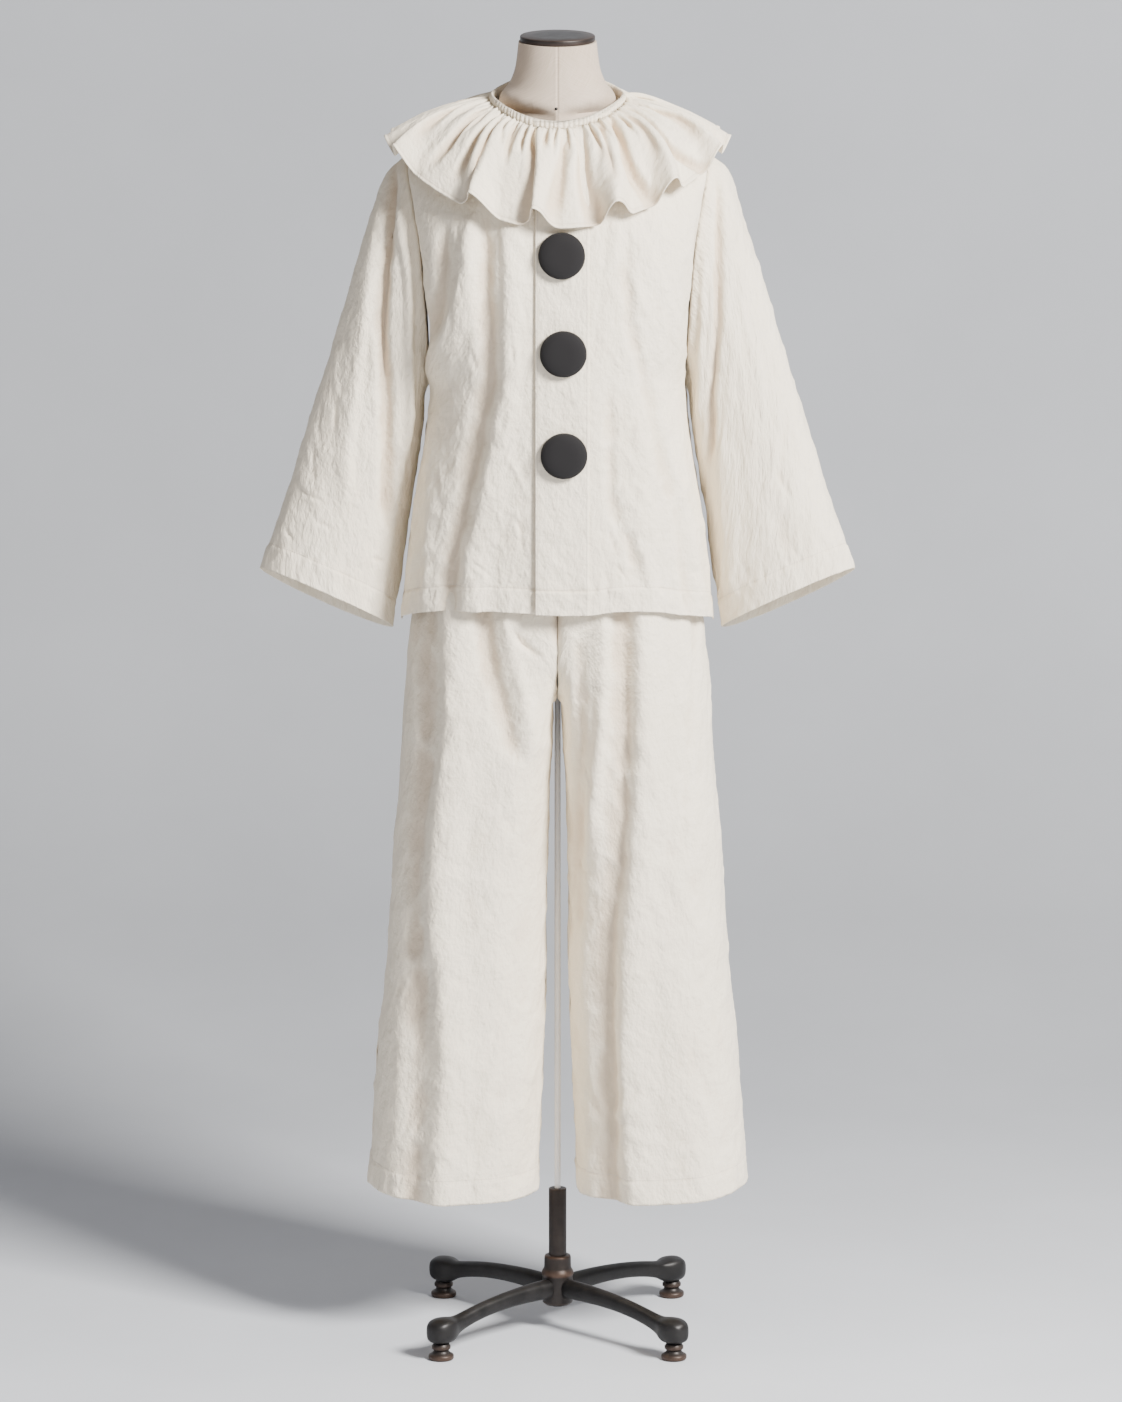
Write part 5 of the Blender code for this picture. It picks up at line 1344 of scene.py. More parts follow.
    def placket(self, front: Cloth, columns: Points, thread: Stitching) -> None:
        """The band down the edge of the over front, stitched along both sides."""
        count = self.band_columns
        width = PLACKET_STITCH_X - PLACKET_EDGE_X
        source = np.interp(np.linspace(0, width, count), columns - columns[0], np.arange(len(columns)))
        below = np.floor(source).astype(int)
        share = (source - below)[None, :, None]
        above = np.minimum(below + 1, len(columns) - 1)
        normals = front.normals
        grid = front.grid[:, below] * (1 - share) + front.grid[:, above] * share
        ways = normals[:, below] * (1 - share) + normals[:, above] * share
        cloth = Cloth(grid + (self.placket_wall + 0.0003) * unit(ways))
        across = np.linspace(0, width, count)[None, :] + 0 * cloth.x
        near = np.minimum(across, width - across)
        cloth.lift(-0.0005 * (1 - step_up(near / 0.0016)))
        cloth.lift(-0.00035 * bump(near - self.band_stitch, 0.0016))
        creases = Crumple(61).creases(across, cloth.along, 0.026, 0.9)
        cloth.lift(self.strain * (creases * bump(across - width / 2, width / 2)))
        cloth.hem(cloth.along, self.hem_width, 63, 0.0003, 0.0003)
        normals = cloth.normals
        for line in (self.band_stitch, width - self.band_stitch):
            j = int(np.argmin(np.abs(across[0] - line)))
            thread.run(cloth.grid[:, j], normals[:, j])
        thread.run(*cloth.row_at(cloth.along, self.hem_width))
        made = cloth.piece("placket-band", self.placket_wall, ("placket_band",), NATURAL_CLOTH)

    def back(self, thread: Stitching) -> None:
        """The one-piece back."""
        edge_x = SHOULDER_POINT[0]
        columns = np.linspace(-edge_x, edge_x, self.back_columns)
        cloth = Cloth(torso(columns, self.rises, Face.BACK), Face.BACK)
        edge = self.dress(cloth, BACK_CREASES, 37, 0 * cloth.x)
        thread.run(*cloth.row_at(edge, self.hem_width))
        made = cloth.piece("jacket-back", self.wall, ("jacket_back",), NATURAL_CLOTH)


# ---------------------------------------------------------------------------
# Sleeves
# ---------------------------------------------------------------------------
@dataclass
class Sleeve:
    """A wide one-piece sleeve, flared to its cuff."""

    side: Side
    creases: tuple[Fold, ...]
    seed: int
    wall: float = 0.0012
    hem_width: float = 0.035
    around: int = 172
    rows: int = 128
    seam_clear: float = 0.014  # creases start this far from the armhole
    behind_share: float = 0.8  # the creases behind are the front's, softer and lower down
    behind_drop: float = 0.03
    flat: tuple[float, float] = (0.700, 0.595)
    area: float = 0.210

    def shape(self) -> Points:
        """The sleeve's smooth points, from the armhole down to the cuff."""
        rises = np.array(ARMHOLE_RISES)
        half_count = len(rises) - 1
        turn = np.arange(self.around) / self.around
        place = np.abs((2 * turn + 1) % 2 - 1) * half_count
        rise = smooth(np.arange(half_count + 1), rises[::-1], place)
        line = read_table(TORSO_COLUMNS, TORSO_ROWS, rise)
        depth = np.where(turn <= 0.5, line["armhole_front_y"], line["armhole_back_y"])
        armhole = np.stack([line["side_x"], depth, line["side_z"]], axis=-1)
        angle = 2 * math.pi * turn
        reaches = 1 - spaced(self.rows, 0.5)[::-1]
        own = read_table(SLEEVE_COLUMNS, SLEEVE_ROWS, reaches)
        zero = 0 * reaches
        top = np.stack([own["top_x"], zero + SHOULDER_POINT[1], own["top_z"]], axis=-1)
        under = np.stack([own["under_x"], own["under_y"], own["under_z"]], axis=-1)
        middle, half = (top + under) / 2, (top - under) / 2
        wide = np.where(np.sin(angle)[None, :] > 0, -own["depth_front"][:, None], own["depth_back"][:, None])
        grid = middle[:, None] + half[:, None] * np.cos(angle)[None, :, None]
        forward = wide * np.abs(np.sin(angle))[None, :]
        grid[..., 1] += forward
        share = np.clip(1 - reaches / ARMHOLE_FADE, 0, 1) ** 2
        grid = grid + share[:, None, None] * (armhole - grid[0])[None]
        tilt = np.where(forward < 0, CUFF_LIFT_FRONT, CUFF_DROP_BACK)
        grid[..., 2] -= tilt * forward * reaches[:, None] ** 2
        height = np.zeros(grid.shape[:2])
        for centre, low, high, half_width, rise_up in SLEEVE_FOLDS:
            gap = (turn - centre + 0.5) % 1.0 - 0.5
            height += rise_up * bump(gap, half_width)[None, :] * fade(reaches, low, high)[:, None]
        height[0] = 0
        grid = grid + height[..., None] * grid_normals(grid, True)
        if self.side is Side.RIGHT:
            # Turned round as well as mirrored, so that the normals still point out.
            grid = np.roll(grid[:, ::-1] * np.array((-1.0, 1.0, 1.0)), 1, axis=1)
        return grid

    def build(self, thread: Stitching) -> None:
        """Builds the sleeve, its creases and its hem."""
        cloth = Cloth(self.shape(), Face.FRONT, True)
        size = self.around
        free = step_up(cloth.along[:, :size] / self.seam_clear)
        front = step_up(0.5 - cloth.grid[..., 1] / 0.03)
        # Folds in front and softer ones behind, with painted shade in their troughs.
        cloth.lift(fold_heights(self.creases, cloth.x, cloth.z) * front * free, FOLD_PAINTED_SHADE[Face.FRONT])
        behind = fold_heights(self.creases, cloth.x, cloth.z + self.behind_drop)
        cloth.lift(self.behind_share * behind * (1 - front) * free, FOLD_PAINTED_SHADE[Face.FRONT])
        cloth.crumple(self.seed, ((0.034, 0.0020, 0.35 * self.side.value), (0.016, 0.0012, -0.3)), free)
        edge = (cloth.along[-1:] - cloth.along)[:, :size]
        cloth.puff(cloth.along[:, :size])
        cloth.hem(edge, self.hem_width, self.seed + 2)
        thread.run(*cloth.row_at(edge, self.hem_width), joined=True)
        node = f"sleeve_{self.side.name.lower()}"
        made = cloth.piece(node.replace("_", "-"), self.wall, (node,), NATURAL_CLOTH)


# ---------------------------------------------------------------------------
# Trousers
# ---------------------------------------------------------------------------
@dataclass
class LegPanel:
    """The front or back half of one trouser leg."""

    side: Side
    face: Face
    creases: tuple[Fold, ...]
    seed: int
    wall: float = 0.0012
    hem_width: float = 0.034
    columns: int = 80
    rows_below: int = 150
    rows_above: int = 40
    seam_clear: float = 0.020  # creases start this far from the side seams
    ease: float = 0.030  # over how much height the start of the centre seam is smoothed
    groove: float = 0.006  # how deep the centre seam lies above the crotch, and how much painted shade is put in it
    groove_painted_shade: float = 0.8
    flat: tuple[float, float] = (0.362, 1.000)

    @property
    def node(self) -> str:
        """The CAD node that this panel stands for."""
        return f"trouser_{self.side.name.lower()}_{self.face.name.lower()}"

    def shape(self) -> Points:
        """The panel's smooth points, from the hem up to the waist."""
        below = TROUSER_HEM_Z + (CROTCH_Z - TROUSER_HEM_Z) * spaced(self.rows_below, 0.7)
        above = CROTCH_Z + (TROUSER_TOP_Z - CROTCH_Z) * spaced(self.rows_above, 0.3)
        heights = np.concatenate([below, above[1:]])
        own = read_table(LEG_COLUMNS, LEG_ROWS, heights)
        depth = own["depth_front" if self.face is Face.FRONT else "depth_back"]
        climb = np.clip((heights - CROTCH_Z) / (RISE_TOP_Z - CROTCH_Z), 0, 1)
        seam_depth = np.sin(np.sqrt(climb) * (math.pi / 2 - 0.08))
        inner_power = own["inner_square"][:, None] / 2
        start = -np.arccos(np.clip(seam_depth[:, None] ** inner_power, 0, 1))
        turns = np.linspace(0, 1, self.columns)
        angle = start + (math.pi / 2 - start) * turns[None, :]
        sine, cosine = np.sin(angle), np.cos(angle)
        inside = sine < 0
        forward = np.abs(cosine) ** np.where(inside, 1 / inner_power, 2 / LEG_SQUARENESS)
        # The seam stays open beside the rod and is closed in front of it and behind it.
        open_share = np.clip(1 - forward[:, :1] * depth[:, None] / SEAM_OPEN_DEPTH, 0, 1)
        inner_x = own["inner_x"][:, None]
        inner_x = np.where(heights[:, None] < CROTCH_Z, inner_x, 0.0001 + open_share * inner_x)
        crown = own["crown_x"][:, None]
        deep = (np.abs(sine) / np.abs(np.sin(start))) ** (1 / inner_power)
        wide = np.abs(sine) ** (2 / LEG_SQUARENESS)
        outer_x = own["outer_x"][:, None]
        x = crown + np.where(inside, (inner_x - crown) * deep, (outer_x - crown) * wide)
        y = -self.face.value * depth[:, None] * forward
        low = np.clip(1 - (heights - TROUSER_HEM_Z) / HEM_RISE_SPAN, 0, 1)[:, None]
        z = heights[:, None] + HEM_OUTER_RISE * low * np.where(inside, 0.0, sine) ** 2
        grid = np.stack([x, y, z], axis=-1)
        grid = self.eased(grid, heights, turns)
        if self.side is Side.RIGHT:
            grid = grid[:, ::-1] * np.array((-1.0, 1.0, 1.0))
        return grid

    def eased(self, grid: Points, heights: Points, turns: Points) -> Points:
        """The panel without the ridge at the height where its centre seam begins.

        Args:
            grid: The panel's points.
            heights: The height of each row.
            turns: How far round each column is, from the inner edge (0) to the side seam (1).

        Returns:
            The points, drawn along each column near that height.
        """
        apart = (heights[:, None] - heights[None, :]) / self.ease
        weight = np.exp(-(apart**2)) * np.gradient(heights)[None, :]
        weight = weight / weight.sum(axis=1, keepdims=True)
        soft = np.einsum("ij,jkc->ikc", weight, grid)
        share = bump(heights[:, None] - CROTCH_Z, 4.5 * self.ease) * step_up((turns[None, :] - 0.02) / 0.10)
        eased = grid + share[..., None] * (soft - grid)
        eased[..., 2] = grid[..., 2]
        return eased

    def build(self, thread: Stitching) -> None:
        """Builds the panel, its creases and its hem."""
        cloth = Cloth(self.shape(), self.face)
        from_side = np.minimum(cloth.across, cloth.across[:, -1:] - cloth.across)
        free = step_up(from_side / self.seam_clear)
        if self.side is Side.LEFT:
            # Measured from the side seam, which runs straight on past the crotch.
            cloth.across = cloth.across - cloth.across[:, -1:]
        # Folds with painted shade in their troughs.
        cloth.lift(fold_heights(self.creases, cloth.x, cloth.z) * free, FOLD_PAINTED_SHADE[self.face])
        if self.face is Face.FRONT:
            # The centre seam lies in a groove above the crotch, with painted shade in it.
            sunk = step_up((cloth.z - 0.93) / 0.05) * bump(cloth.x, 0.011)
            cloth.grid[..., 1] += self.groove * sunk
            cloth.depth -= self.groove_painted_shade * sunk
        cloth.crumple(self.seed, ((0.038, 0.0023, 0.35 * self.side.value), (0.019, 0.0014, -0.3)))
        cloth.press(from_side)
        cloth.hem(cloth.along, self.hem_width, self.seed + 2)
        thread.run(*cloth.row_at(cloth.along, self.hem_width))
        made = cloth.piece(self.node.replace("_", "-"), self.wall, (self.node,), NATURAL_CLOTH)


@dataclass
class Waistband:
    """The band that holds the trousers up, out of sight under the jacket."""

    height: float = 0.038
    wall: float = 0.0022
    ease: float = 0.0030
    around: int = 128
    flat: tuple[float, float] = (0.720, 0.038)

    def build(self) -> None:
        """Builds the band round the form's waist."""
        angle = 2 * math.pi * np.arange(self.around) / self.around
        heights = TROUSER_TOP_Z + np.linspace(0.0003, self.height, 12)
        grid = form_rings(angle, heights, self.ease)
        cloth = Cloth(grid, Face.FRONT, True)
        cloth.lift(0.0003 * (Crumple(5).read(cloth.across[:, :-1] / 0.006, cloth.along[:, :-1] / 0.03) - 0.5))
        made = cloth.piece("waistband-cloth", self.wall, ("waistband",), NATURAL_CLOTH)


# ---------------------------------------------------------------------------
# Collar
# ---------------------------------------------------------------------------
def ring_values(angle: Points, front: float, side: float, back: float) -> Points:
    """A size that runs from the sides of the neck to its front and back."""
    end = np.where(np.sin(angle) < 0, front, back)
    return side + (end - side) * np.sin(angle) ** 2


def neck_ring(angle: Points, half_width: float, ys: tuple[float, float], zs: Triple) -> Points:
    """An egg-shaped ring round the neck: y in front and behind, z in front, at the side and behind."""
    y = np.where(np.sin(angle) < 0, -ys[0], ys[1]) * np.sin(angle)
    return np.stack([half_width * np.cos(angle), y, ring_values(angle, *zs)], axis=-1)


def collar_ring(angle: Points) -> Points:
    """The middle line of the gathered heading."""
    return neck_ring(angle, RING_HALF_WIDTH, (RING_FRONT_Y, RING_BACK_Y), RING_ZS)


def outward(angle: Points) -> Points:
    """The level direction away from the neck."""
    return np.stack([np.cos(angle), np.sin(angle), 0 * angle], axis=-1)


def hung(angle: Points, drops: Points) -> Points:
    """The angle round the neck of each point: straight out at the edge, swung to the side above it."""
    from_front = (np.degrees(angle) + 270) % 360 - 180
    swing = np.sin(math.pi * np.clip(from_front / RUFF_HANG_SPAN, -1, 1))
    return angle + np.radians(RUFF_HANG) * swing * (1 - drops)


def flute_height(angle: Points) -> Points:
    """0 to 1 round the ruff: broad low stretches with a rounded flute at each angle of FLUTES."""
    degrees = np.degrees(angle)
    height = np.zeros(angle.shape)
    for centre, half_width, share in FLUTES:
        gap = (degrees - centre + 180) % 360 - 180
        height += share * bump(gap, half_width * np.where(gap < 0, FLUTE_STEEP, FLUTE_GENTLE))
    return height


def valley_depth(angle: Points, drops: Points) -> Points:
    """How deep the ruff's valleys are at each place, in metres."""
    degrees = np.degrees(angle)
    depth = np.zeros(np.broadcast(angle, drops).shape)
    for top, middle, edge, start, end, half_width, deep in VALLEYS:
        centre = smooth((0.0, 0.5, 1.0), (top, middle, edge), drops)
        gap = (degrees - centre + 180) % 360 - 180
        reach = step_up((drops - start + 0.03) / 0.12) * step_up((end - drops) / (0.45 * (end - start)))
        depth += 1.75 * deep * reach * bump(gap, half_width * (0.65 + 0.5 * drops))
    return depth


@dataclass
class Collar:
    """The gathered heading and the ruff that hangs from it."""

    columns: int = 640
    rows: int = 46
    ruff_wall: float = 0.0010
    ruff_hem: float = 0.006
    ribs: int = 88
    band_columns: int = 1056
    mean_radius: float = 0.16
    ruff_flat: tuple[float, float] = (1.400, 0.150)
    band_flat: tuple[float, float] = (0.550, 0.016)

    def build(self, thread: Stitching) -> None:
        """Builds the ruff and its heading."""
        self.ruff(thread)
        self.band()

    def gathers(self, turn: Points, drop: Points) -> Points:
        """Height of the small uneven gathers below the heading."""
        noise = Crumple(71)
        sway = noise.read(turn * 64 + 0 * drop, 0.5 + 2.2 * drop) - 0.5
        fine = np.sin(2 * math.pi * (turn * self.ribs + 1.3 * sway))
        middle = np.sin(2 * math.pi * (turn * 41 + 0.9 * sway) + 1.0)
        reach = 0.5 + noise.read(turn * 64 + 0 * drop, 7.0 + 0 * drop)
        height = 0.0016 * fine * np.exp(-((drop / (0.15 * reach)) ** 1.5))
        height = height + 0.0022 * middle * np.exp(-(((drop - 0.13) / (0.17 * reach)) ** 2))
        return height * (0.55 + 0.9 * noise.read(turn * 32 + 0 * drop, 4.0 + 0 * drop))

    def shape(self, column: Points, drops: Points) -> Points:
        """The ruff's smooth points, from the heading down to the edge.

        Args:
            column: The angle at which each column meets the edge.
            drops: How far down each row is, from 0 to 1.

        Returns:
            A row of points for each drop.
        """
        down = drops[:, None]
        angle = hung(column[None, :], down)
        way, up = outward(angle), np.array((0.0, 0.0, 1.0))
        top = collar_ring(angle) + RUFF_START_OUT * way - RUFF_START_DOWN * up
        edge = neck_ring(angle, RUFF_HALF_WIDTH, RUFF_YS, RUFF_ZS)
        share = down[..., None]
        crown = RUFF_CROWN * np.sin(math.pi * share**RUFF_CROWN_BIAS)
        grid = top * (1 - share) + edge * share + crown * unit(way + up)
        fronts = np.sin(angle)[..., None] ** 2
        out_share = FLUTE_OUT_SIDE + (FLUTE_OUT_FRONT - FLUTE_OUT_SIDE) * fronts
        up_share = FLUTE_UP_SIDE + (FLUTE_UP_FRONT - FLUTE_UP_SIDE) * fronts
        flute = FLUTE_HEIGHT * flute_height(column)[None, :] * down**FLUTE_GROWTH
        return grid + flute[..., None] * unit(way * out_share + up * up_share)

    def ruff(self, thread: Stitching) -> None:
        """The ruff, one fluted sheet all round the neck."""
        column = 2 * math.pi * np.arange(self.columns) / self.columns
        drops = 1 - spaced(self.rows, 0.6)[::-1]
        # From the edge up to the heading, so that the normals point out.
        down = drops[::-1, None]
        cloth = Cloth(self.shape(column, drops)[::-1], Face.FRONT, True)
        turned = np.append(column, 2 * math.pi)[None, :]
        cloth.across = self.mean_radius * turned + 0 * cloth.along
        # The valleys, gathers and small crumples sink the cloth and get painted shade in their troughs.
        cloth.lift(-valley_depth(column[None, :], down), 0.0065)
        headed = hung(column, np.zeros(1)) / (2 * math.pi)
        cloth.lift(self.gathers(headed[None, :], down), 0.0040)
        cloth.crumple(73, ((0.026, 0.0008, 0.0),), step_up(down / 0.3))
        size = self.columns
        edge_gap = cloth.along[:, :size]
        cloth.hem(edge_gap, self.ruff_hem, 75, 0.0005, 0.0003)
        thread.run(*cloth.row_at(edge_gap, self.ruff_hem), joined=True)
        made = cloth.piece("gathered-ruff", self.ruff_wall, ("collar_ruff",), NATURAL_CLOTH)

    def band(self) -> None:
        """The shirred heading, a flattened tube drawn into small ribs."""
        angle = 2 * math.pi * np.arange(self.band_columns) / self.band_columns
        noise = Crumple(81)
        turn = angle / (2 * math.pi)
        sway = noise.read(turn * 64, 0 * turn) - 0.5
        rib = 1 - np.abs(np.sin(math.pi * (turn * self.ribs + 0.7 * sway))) ** 1.4 * 2
        ring, way = collar_ring(angle), outward(angle)
        rows = []
        for around in np.radians(np.linspace(90, 450, 19)):
            out = math.cos(around) * BAND_DEPTH / 2
            up = math.sin(around) * (BAND_HEIGHT / 2 + 0.0004 * noise.read(turn * 64, 9 + 0 * turn))
            raised = -0.0007 * rib * max(0.0, math.cos(around)) ** 0.6
            rows.append(ring + (out + raised)[:, None] * way + up[:, None] * np.array((0.0, 0.0, 1.0)))
        grid = close(np.array(rows)[::-1])
        across, along = lengths(grid, 1), lengths(grid, 0)
        # Painted shade in the grooves between the ribs, carried by the fold attribute.
        depth = np.repeat(np.append(-rib, -rib[0])[None], len(rows), axis=0) * 0.6
        made = grid_piece("collar-band", grid, across, along, depth, joined=True, ring=True)
        hand_over(made, NATURAL_CLOTH, "collar_band")


@dataclass
class Buttons:
    """Three domed, cloth-covered buttons on the placket."""

    thread_dip: float = 0.0011
    dip_radius: float = 0.0032
    squareness: float = 0.55  # below 1 the dome is fuller than a ball
    steps: int = 15

    def profile(self) -> Table:
        """The rim and the dome, drawn in a little at the middle by the shank's thread."""
        rows = [
            (BUTTON_RADIUS - BUTTON_UNDERCUT, 0.0),
            (BUTTON_RADIUS - 0.0004, 0.0012),
            (BUTTON_RADIUS, BUTTON_RIM_HEIGHT),
        ]
        for step in np.linspace(0, math.pi / 2, self.steps):
            radius = BUTTON_RADIUS * max(math.cos(step), 0.0) ** self.squareness
            dip = self.thread_dip * math.exp(-((radius / self.dip_radius) ** 2))
            if radius > 0.0002:
                rows.append((radius, BUTTON_EDGE + BUTTON_DOME * math.sin(step) - dip))
        return tuple(rows)

    def build(self) -> None:
        """Builds the buttons where their own nodes stand."""
        for index, name in enumerate(BUTTONS):
            axis, centre = self.seat(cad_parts[name])
            made = spun(f"covered-button-{index + 1}", self.profile(), centre, axis, 72)
            hand_over(made, BUTTON_CLOTH, name)

    @staticmethod
    def seat(node: bpy.types.Object) -> tuple[Vector, Vector]:
        """The axis and the foot of a button, read from its CAD node's flat back."""
        data = node.data
        face = max(data.polygons, key=lambda polygon: polygon.normal.y * polygon.area)
        normal = -face.normal.normalized()
        corners = [data.vertices[i].co for i in face.vertices]
        ring = [vert.co for vert in data.vertices if abs((vert.co - corners[0]).dot(normal)) < 1e-5]
        centre = sum(ring, Vector()) / len(ring)
        return normal, centre


# ---------------------------------------------------------------------------
# Dress form and stand
# ---------------------------------------------------------------------------
def form_rings(angle: Points, heights: Points, out: float | Points = 0.0) -> Points:
    """Rings of the dress form's section, moved out by a margin."""
    line = read_table(FORM_COLUMNS, FORM_ROWS, heights)
    cosine, sine = np.cos(angle)[None, :], np.sin(angle)[None, :]
    power = 2 / line["squareness"][:, None]
    out = np.broadcast_to(out, heights.shape)[:, None]
    x = (line["half_x"][:, None] + out) * np.sign(cosine) * np.abs(cosine) ** power
    depth = np.where(sine < 0, -line["front_y"][:, None], line["back_y"][:, None]) + out
    y = depth * np.sign(sine) * np.abs(sine) ** power
    return np.stack([x, y, heights[:, None] + 0 * x], axis=-1)


@dataclass
class DressForm:
    """The limbless linen torso, its seams, its pin and its turned cap."""

    columns: int = 128
    rows: int = 120
    wall: float = 0.003
    seam_depth: float = 0.0007
    base_seam_z: float = 1.6600  # the seam round the neck's foot, lowest in front
    pin_z: float = 1.6590

    def build(self) -> None:
        """Builds the torso, the pin and the cap."""
        share = np.linspace(-1, 1, self.columns + 1)[:-1]
        angle = -math.pi / 2 + math.pi * np.sign(share) * (0.25 * np.abs(share) + 0.75 * np.abs(share) ** 2)
        low, high = FORM_ROWS[0][0], FORM_ROWS[-1][0]
        heights = high - (high - low) * spaced(self.rows, 0.35)[::-1]
        # Slimmer where the jacket lies close over it.
        slim = -0.0022 * fade(heights, 1.50, 1.665)
        grid = form_rings(angle, heights, slim)
        cloth = Cloth(grid, Face.FRONT, True)
        front = bump(angle + math.pi / 2, 1.2)[None, :]
        beside = np.abs(grid[..., 0])
        shown = (heights > 1.6)[:, None] * 1.0
        # The centre front seam above 1.6 m, sunk and given painted shade.
        cloth.lift(-self.seam_depth * bump(beside, 0.0016) * front * shown, 0.004)
        cloth.lift(0.00025 * bump(beside - 0.003, 0.003) * front * shown)
        # The seam round the foot of the neck, sunk and given painted shade.
        base = self.base_seam_z + 0.0115 * (grid[..., 0] / 0.072) ** 2
        cloth.lift(-self.seam_depth * bump(cloth.z - base, 0.0015), 0.004)
        cloth.lift(0.0004 * bump(cloth.z - base - 0.003, 0.003))
        made = cloth.piece("dress-form", self.wall, ("form_body",), FORM_LINEN)
        self.close_ends(made)
        self.pin(cloth)
        self.cap()

    def close_ends(self, made: bpy.types.Object) -> None:
        """Turns the open torso into a closed body."""
        made.modifiers.clear()
        mesh = bmesh.new()
        mesh.from_mesh(made.data)
        cap_ends(mesh)
        mesh.to_mesh(made.data)
        mesh.free()
        made.data.set_sharp_from_angle(angle=math.radians(50))

    def pin(self, cloth: Cloth) -> None:
        """The dark pin head at the pit of the neck."""
        target = np.array((0.0, -0.08, self.pin_z))
        gap = np.linalg.norm(cloth.grid - target, axis=-1)
        place = np.unravel_index(np.argmin(gap), gap.shape)
        profile = ((0.0016, 0.0), (0.0020, 0.0006), (0.0016, 0.0014), (0.0006, 0.0018))
        way = Vector(cloth.normals[place])
        made = spun("neck-pin", profile, Vector(cloth.grid[place]) - way * 0.0004, way, 20)
        hand_over(made, BRONZE)

    def cap(self) -> None:
        """The turned cap on the neck."""
        foot = FORM_ROWS[-1][0] + 0.0003
        hand_over(spun("neck-cap", CAP_SHAPE, foot * UP, UP, 96), BRONZE, "form_neck_cap")


@dataclass
class Stand:
    """The rod and tube, the cast hub and its four legs on turned glides."""

    root: float = 0.0120  # where a leg starts, inside the hub
    ridge_wear: float = 0.06

    def build(self) -> None:
        """Builds every part of the stand."""
        rod = ((ROD_RADIUS, POLE_TOP_Z - 0.02), (ROD_RADIUS, FORM_ROWS[0][0] + 0.002))
        pole = (
            (POLE_RADIUS - 0.0004, HUB_TOP_Z - 0.01, 0.2), (POLE_RADIUS, HUB_TOP_Z - 0.0096, 0.2),
            (POLE_RADIUS, POLE_TOP_Z - 0.0012, 0.25), (POLE_RADIUS - 0.0004, POLE_TOP_Z - 0.0003, 0.6),
            (POLE_RADIUS - 0.0012, POLE_TOP_Z, 0.5),
        )  # fmt: skip
        hand_over(spun("stand-rod", rod, Vector(), UP, 32), STEEL, "stand_rod")
        hand_over(spun("stand-tube", pole, Vector(), UP, 64), BRONZE, "stand_pole")
        hand_over(spun("stand-hub", HUB_SHAPE, Vector(), UP, 80), BRONZE, "stand_hub")
        for place, degrees in FEET.items():
            turn = math.radians(degrees)
            along = Vector((math.cos(turn), math.sin(turn), 0.0))
            self.leg(place, along)
            glide = spun(f"glide-{place.replace('_', '-')}", GLIDE_SHAPE, FOOT_REACH * along, UP, 48)
            hand_over(glide, BRONZE, f"stand_glide_{place}")

    def leg(self, place: str, along: Vector) -> None:
        """One cast leg, ring by ring from the hub to its knuckle."""
        aside = Vector((-along.y, along.x, 0.0))
        rows = ((self.root, *LEG_BAR_ROWS[0][1:]), *LEG_BAR_ROWS)
        rings = []
        for reach, under_z, ridge_z, half_width, shoulder in rows:
            bevel = (1 + shoulder) / 2
            outline = (
                (0.0, 1.0), (0.62, bevel), (1.0, shoulder), (1.0, 0.25), (0.72, 0.0),
                (-0.72, 0.0), (-1.0, 0.25), (-1.0, shoulder), (-0.62, bevel),
            )  # fmt: skip
            ring = []
            for across, rise in outline:
                height = under_z + rise * (ridge_z - under_z)
                point = reach * along + across * half_width * aside + height * UP
                ring.append((*point, self.ridge_wear if rise == 1.0 else 0.0))
            rings.append(ring)
        made = ringed(f"cast-leg-{place.replace('_', '-')}", np.array(rings))
        round_off(made, 2)
        hand_over(made, BRONZE, f"stand_leg_{place}")


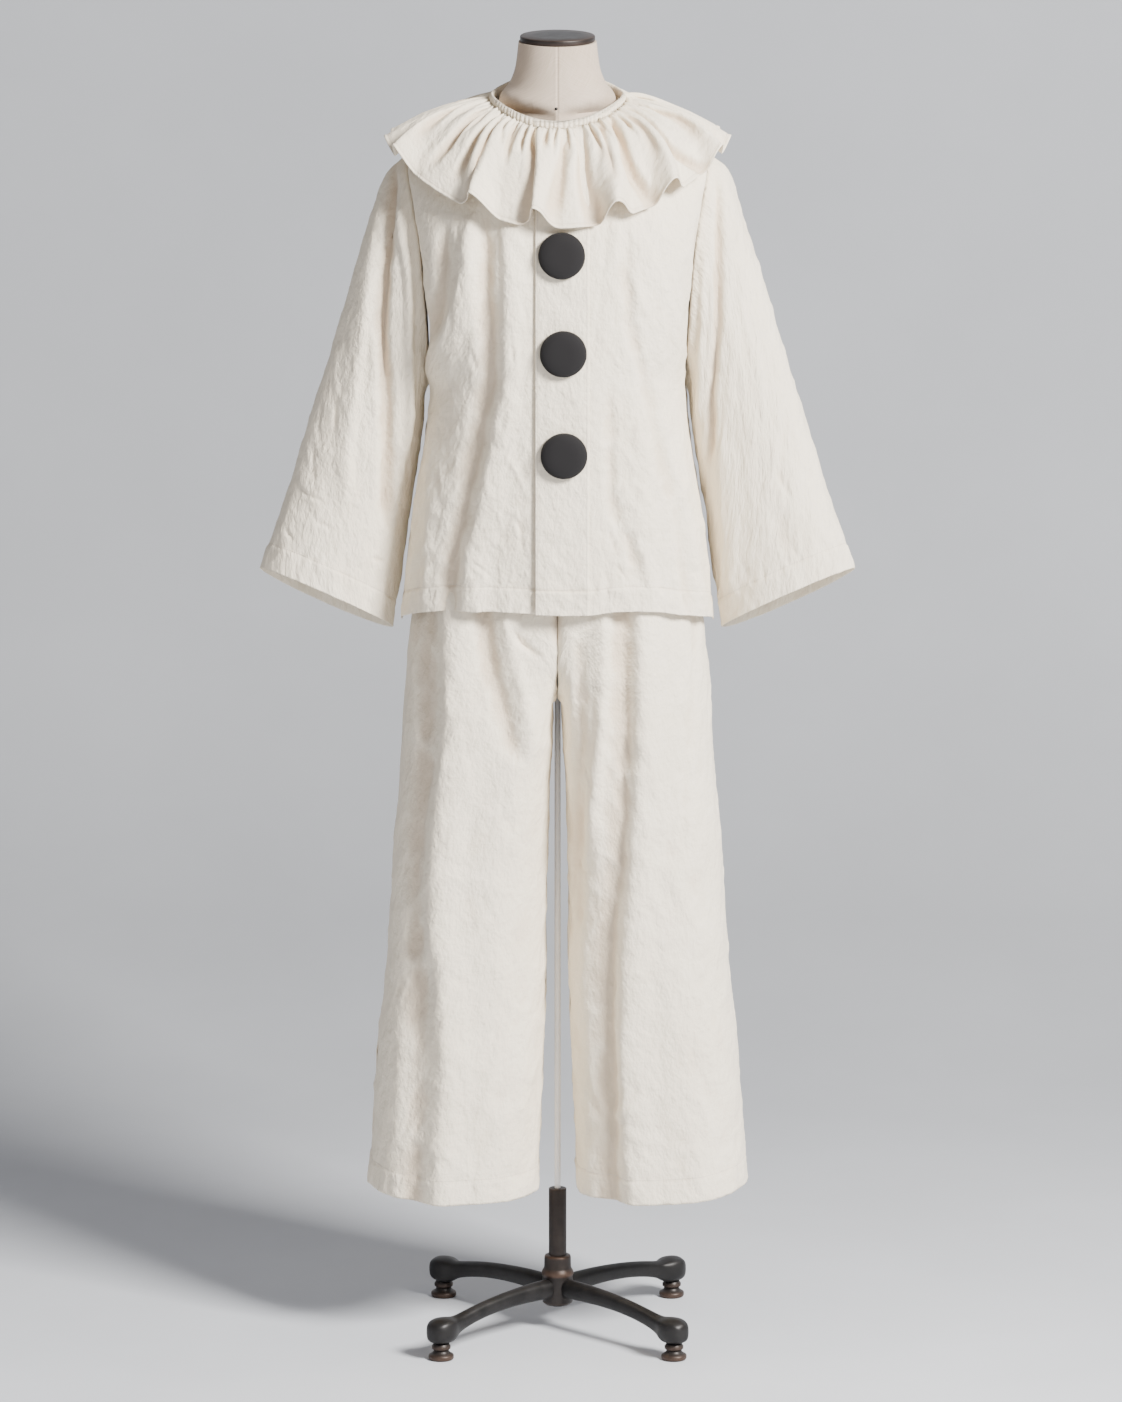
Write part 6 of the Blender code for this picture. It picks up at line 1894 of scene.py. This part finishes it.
# ---------------------------------------------------------------------------
# Studio
# ---------------------------------------------------------------------------
@dataclass
class Studio:
    """Pale floor and sweep, soft light and the camera."""

    sweep: Table = (
        (-9.0, 0.0), (-3.0, 0.0), (0.0, 0.0), (1.05, 0.0), (1.35, 0.012), (1.65, 0.075),
        (1.95, 0.22), (2.2, 0.47), (2.36, 0.80), (2.44, 1.25), (2.46, 2.0), (2.46, 6.5),
    )  # fmt: skip
    half_width: float = 8.0
    room_colour: Colour = (1.0, 0.965, 0.975)
    room_strength: float = 0.30
    eye: Triple = (0.0045, -13.668, 3.888)
    eye_tilt: float = 77.5
    lens: float = 272.3
    sensor: float = 36.0

    def build(self) -> None:
        """Builds the floor and sets the lights, the room and the camera."""
        self.floor()
        self.light("key", (3.65, -3.65, 4.6), (0.0, 0.0, 1.0), 1.7, 1340.0, (1.0, 0.98, 0.95))
        self.light("fill", (-3.5, -4.5, 2.0), (0.0, 0.0, 0.9), 3.0, 30.0, (0.95, 0.97, 1.0))
        self.room()
        self.camera()

    def floor(self) -> None:
        """A floor that sweeps up into the backdrop."""
        mesh = bmesh.new()
        ends = [mesh.verts.new((x, *self.sweep[0])) for x in (-self.half_width, self.half_width)]
        edge = mesh.edges.new(ends)
        for y, z in self.sweep[1:]:
            made = bmesh.ops.extrude_edge_only(mesh, edges=[edge])["geom"]
            edge = next(item for item in made if isinstance(item, bmesh.types.BMEdge))
            for vert in edge.verts:
                vert.co.y, vert.co.z = y, z
        bmesh.ops.recalc_face_normals(mesh, faces=mesh.faces[:])
        if next(iter(mesh.faces)).normal.z < 0:
            bmesh.ops.reverse_faces(mesh, faces=mesh.faces[:])
        floor = finished("studio-floor", mesh)
        round_off(floor, 3)
        floor.data.materials.append(FLOOR.material())

    def light(self, name: str, place: Triple, aim: Triple, size: float, power: float, colour: Colour) -> None:
        """One soft square light.

        Args:
            name: Its name.
            place: Where it stands.
            aim: What it points at.
            size: The side of its square face.
            power: Its power in watts.
            colour: Its colour.
        """
        data = bpy.data.lights.new(name, "AREA")
        data.shape, data.size, data.energy, data.color = "SQUARE", size, power, colour
        lamp = add_object(name, data)
        lamp.location = place
        lamp.rotation_euler = (Vector(aim) - Vector(place)).to_track_quat("-Z", "Y").to_euler()

    def room(self) -> None:
        """The soft light that comes from all sides."""
        world = bpy.data.worlds.new("room")
        world.use_nodes = True
        ground = world.node_tree.nodes["Background"]
        ground.inputs["Color"].default_value = (*self.room_colour, 1.0)
        ground.inputs["Strength"].default_value = self.room_strength
        bpy.context.scene.world = world

    def camera(self) -> None:
        """A long lens, a little above the costume's middle."""
        data = bpy.data.cameras.new("camera")
        data.lens, data.sensor_width, data.sensor_fit = self.lens, self.sensor, "AUTO"
        data.clip_end = 60.0
        eye = add_object("camera", data)
        eye.location = self.eye
        eye.rotation_euler = (math.radians(self.eye_tilt), 0.0, 0.0)
        bpy.context.scene.camera = eye


def main() -> None:
    """Builds every piece in order."""
    logging.basicConfig(level=logging.INFO, format="%(name)s: %(message)s")
    thread = Stitching()
    Jacket().build(thread)
    Sleeve(Side.LEFT, LEFT_SLEEVE_CREASES, 101).build(thread)
    Sleeve(Side.RIGHT, RIGHT_SLEEVE_CREASES, 111).build(thread)
    for panel in LEG_PANELS:
        LegPanel(*panel).build(thread)
    Waistband().build()
    Collar().build(thread)
    thread.piece("stitching", THREAD)
    Buttons().build()
    DressForm().build()
    Stand().build()
    Studio().build()


if __name__ == "__main__":
    main()
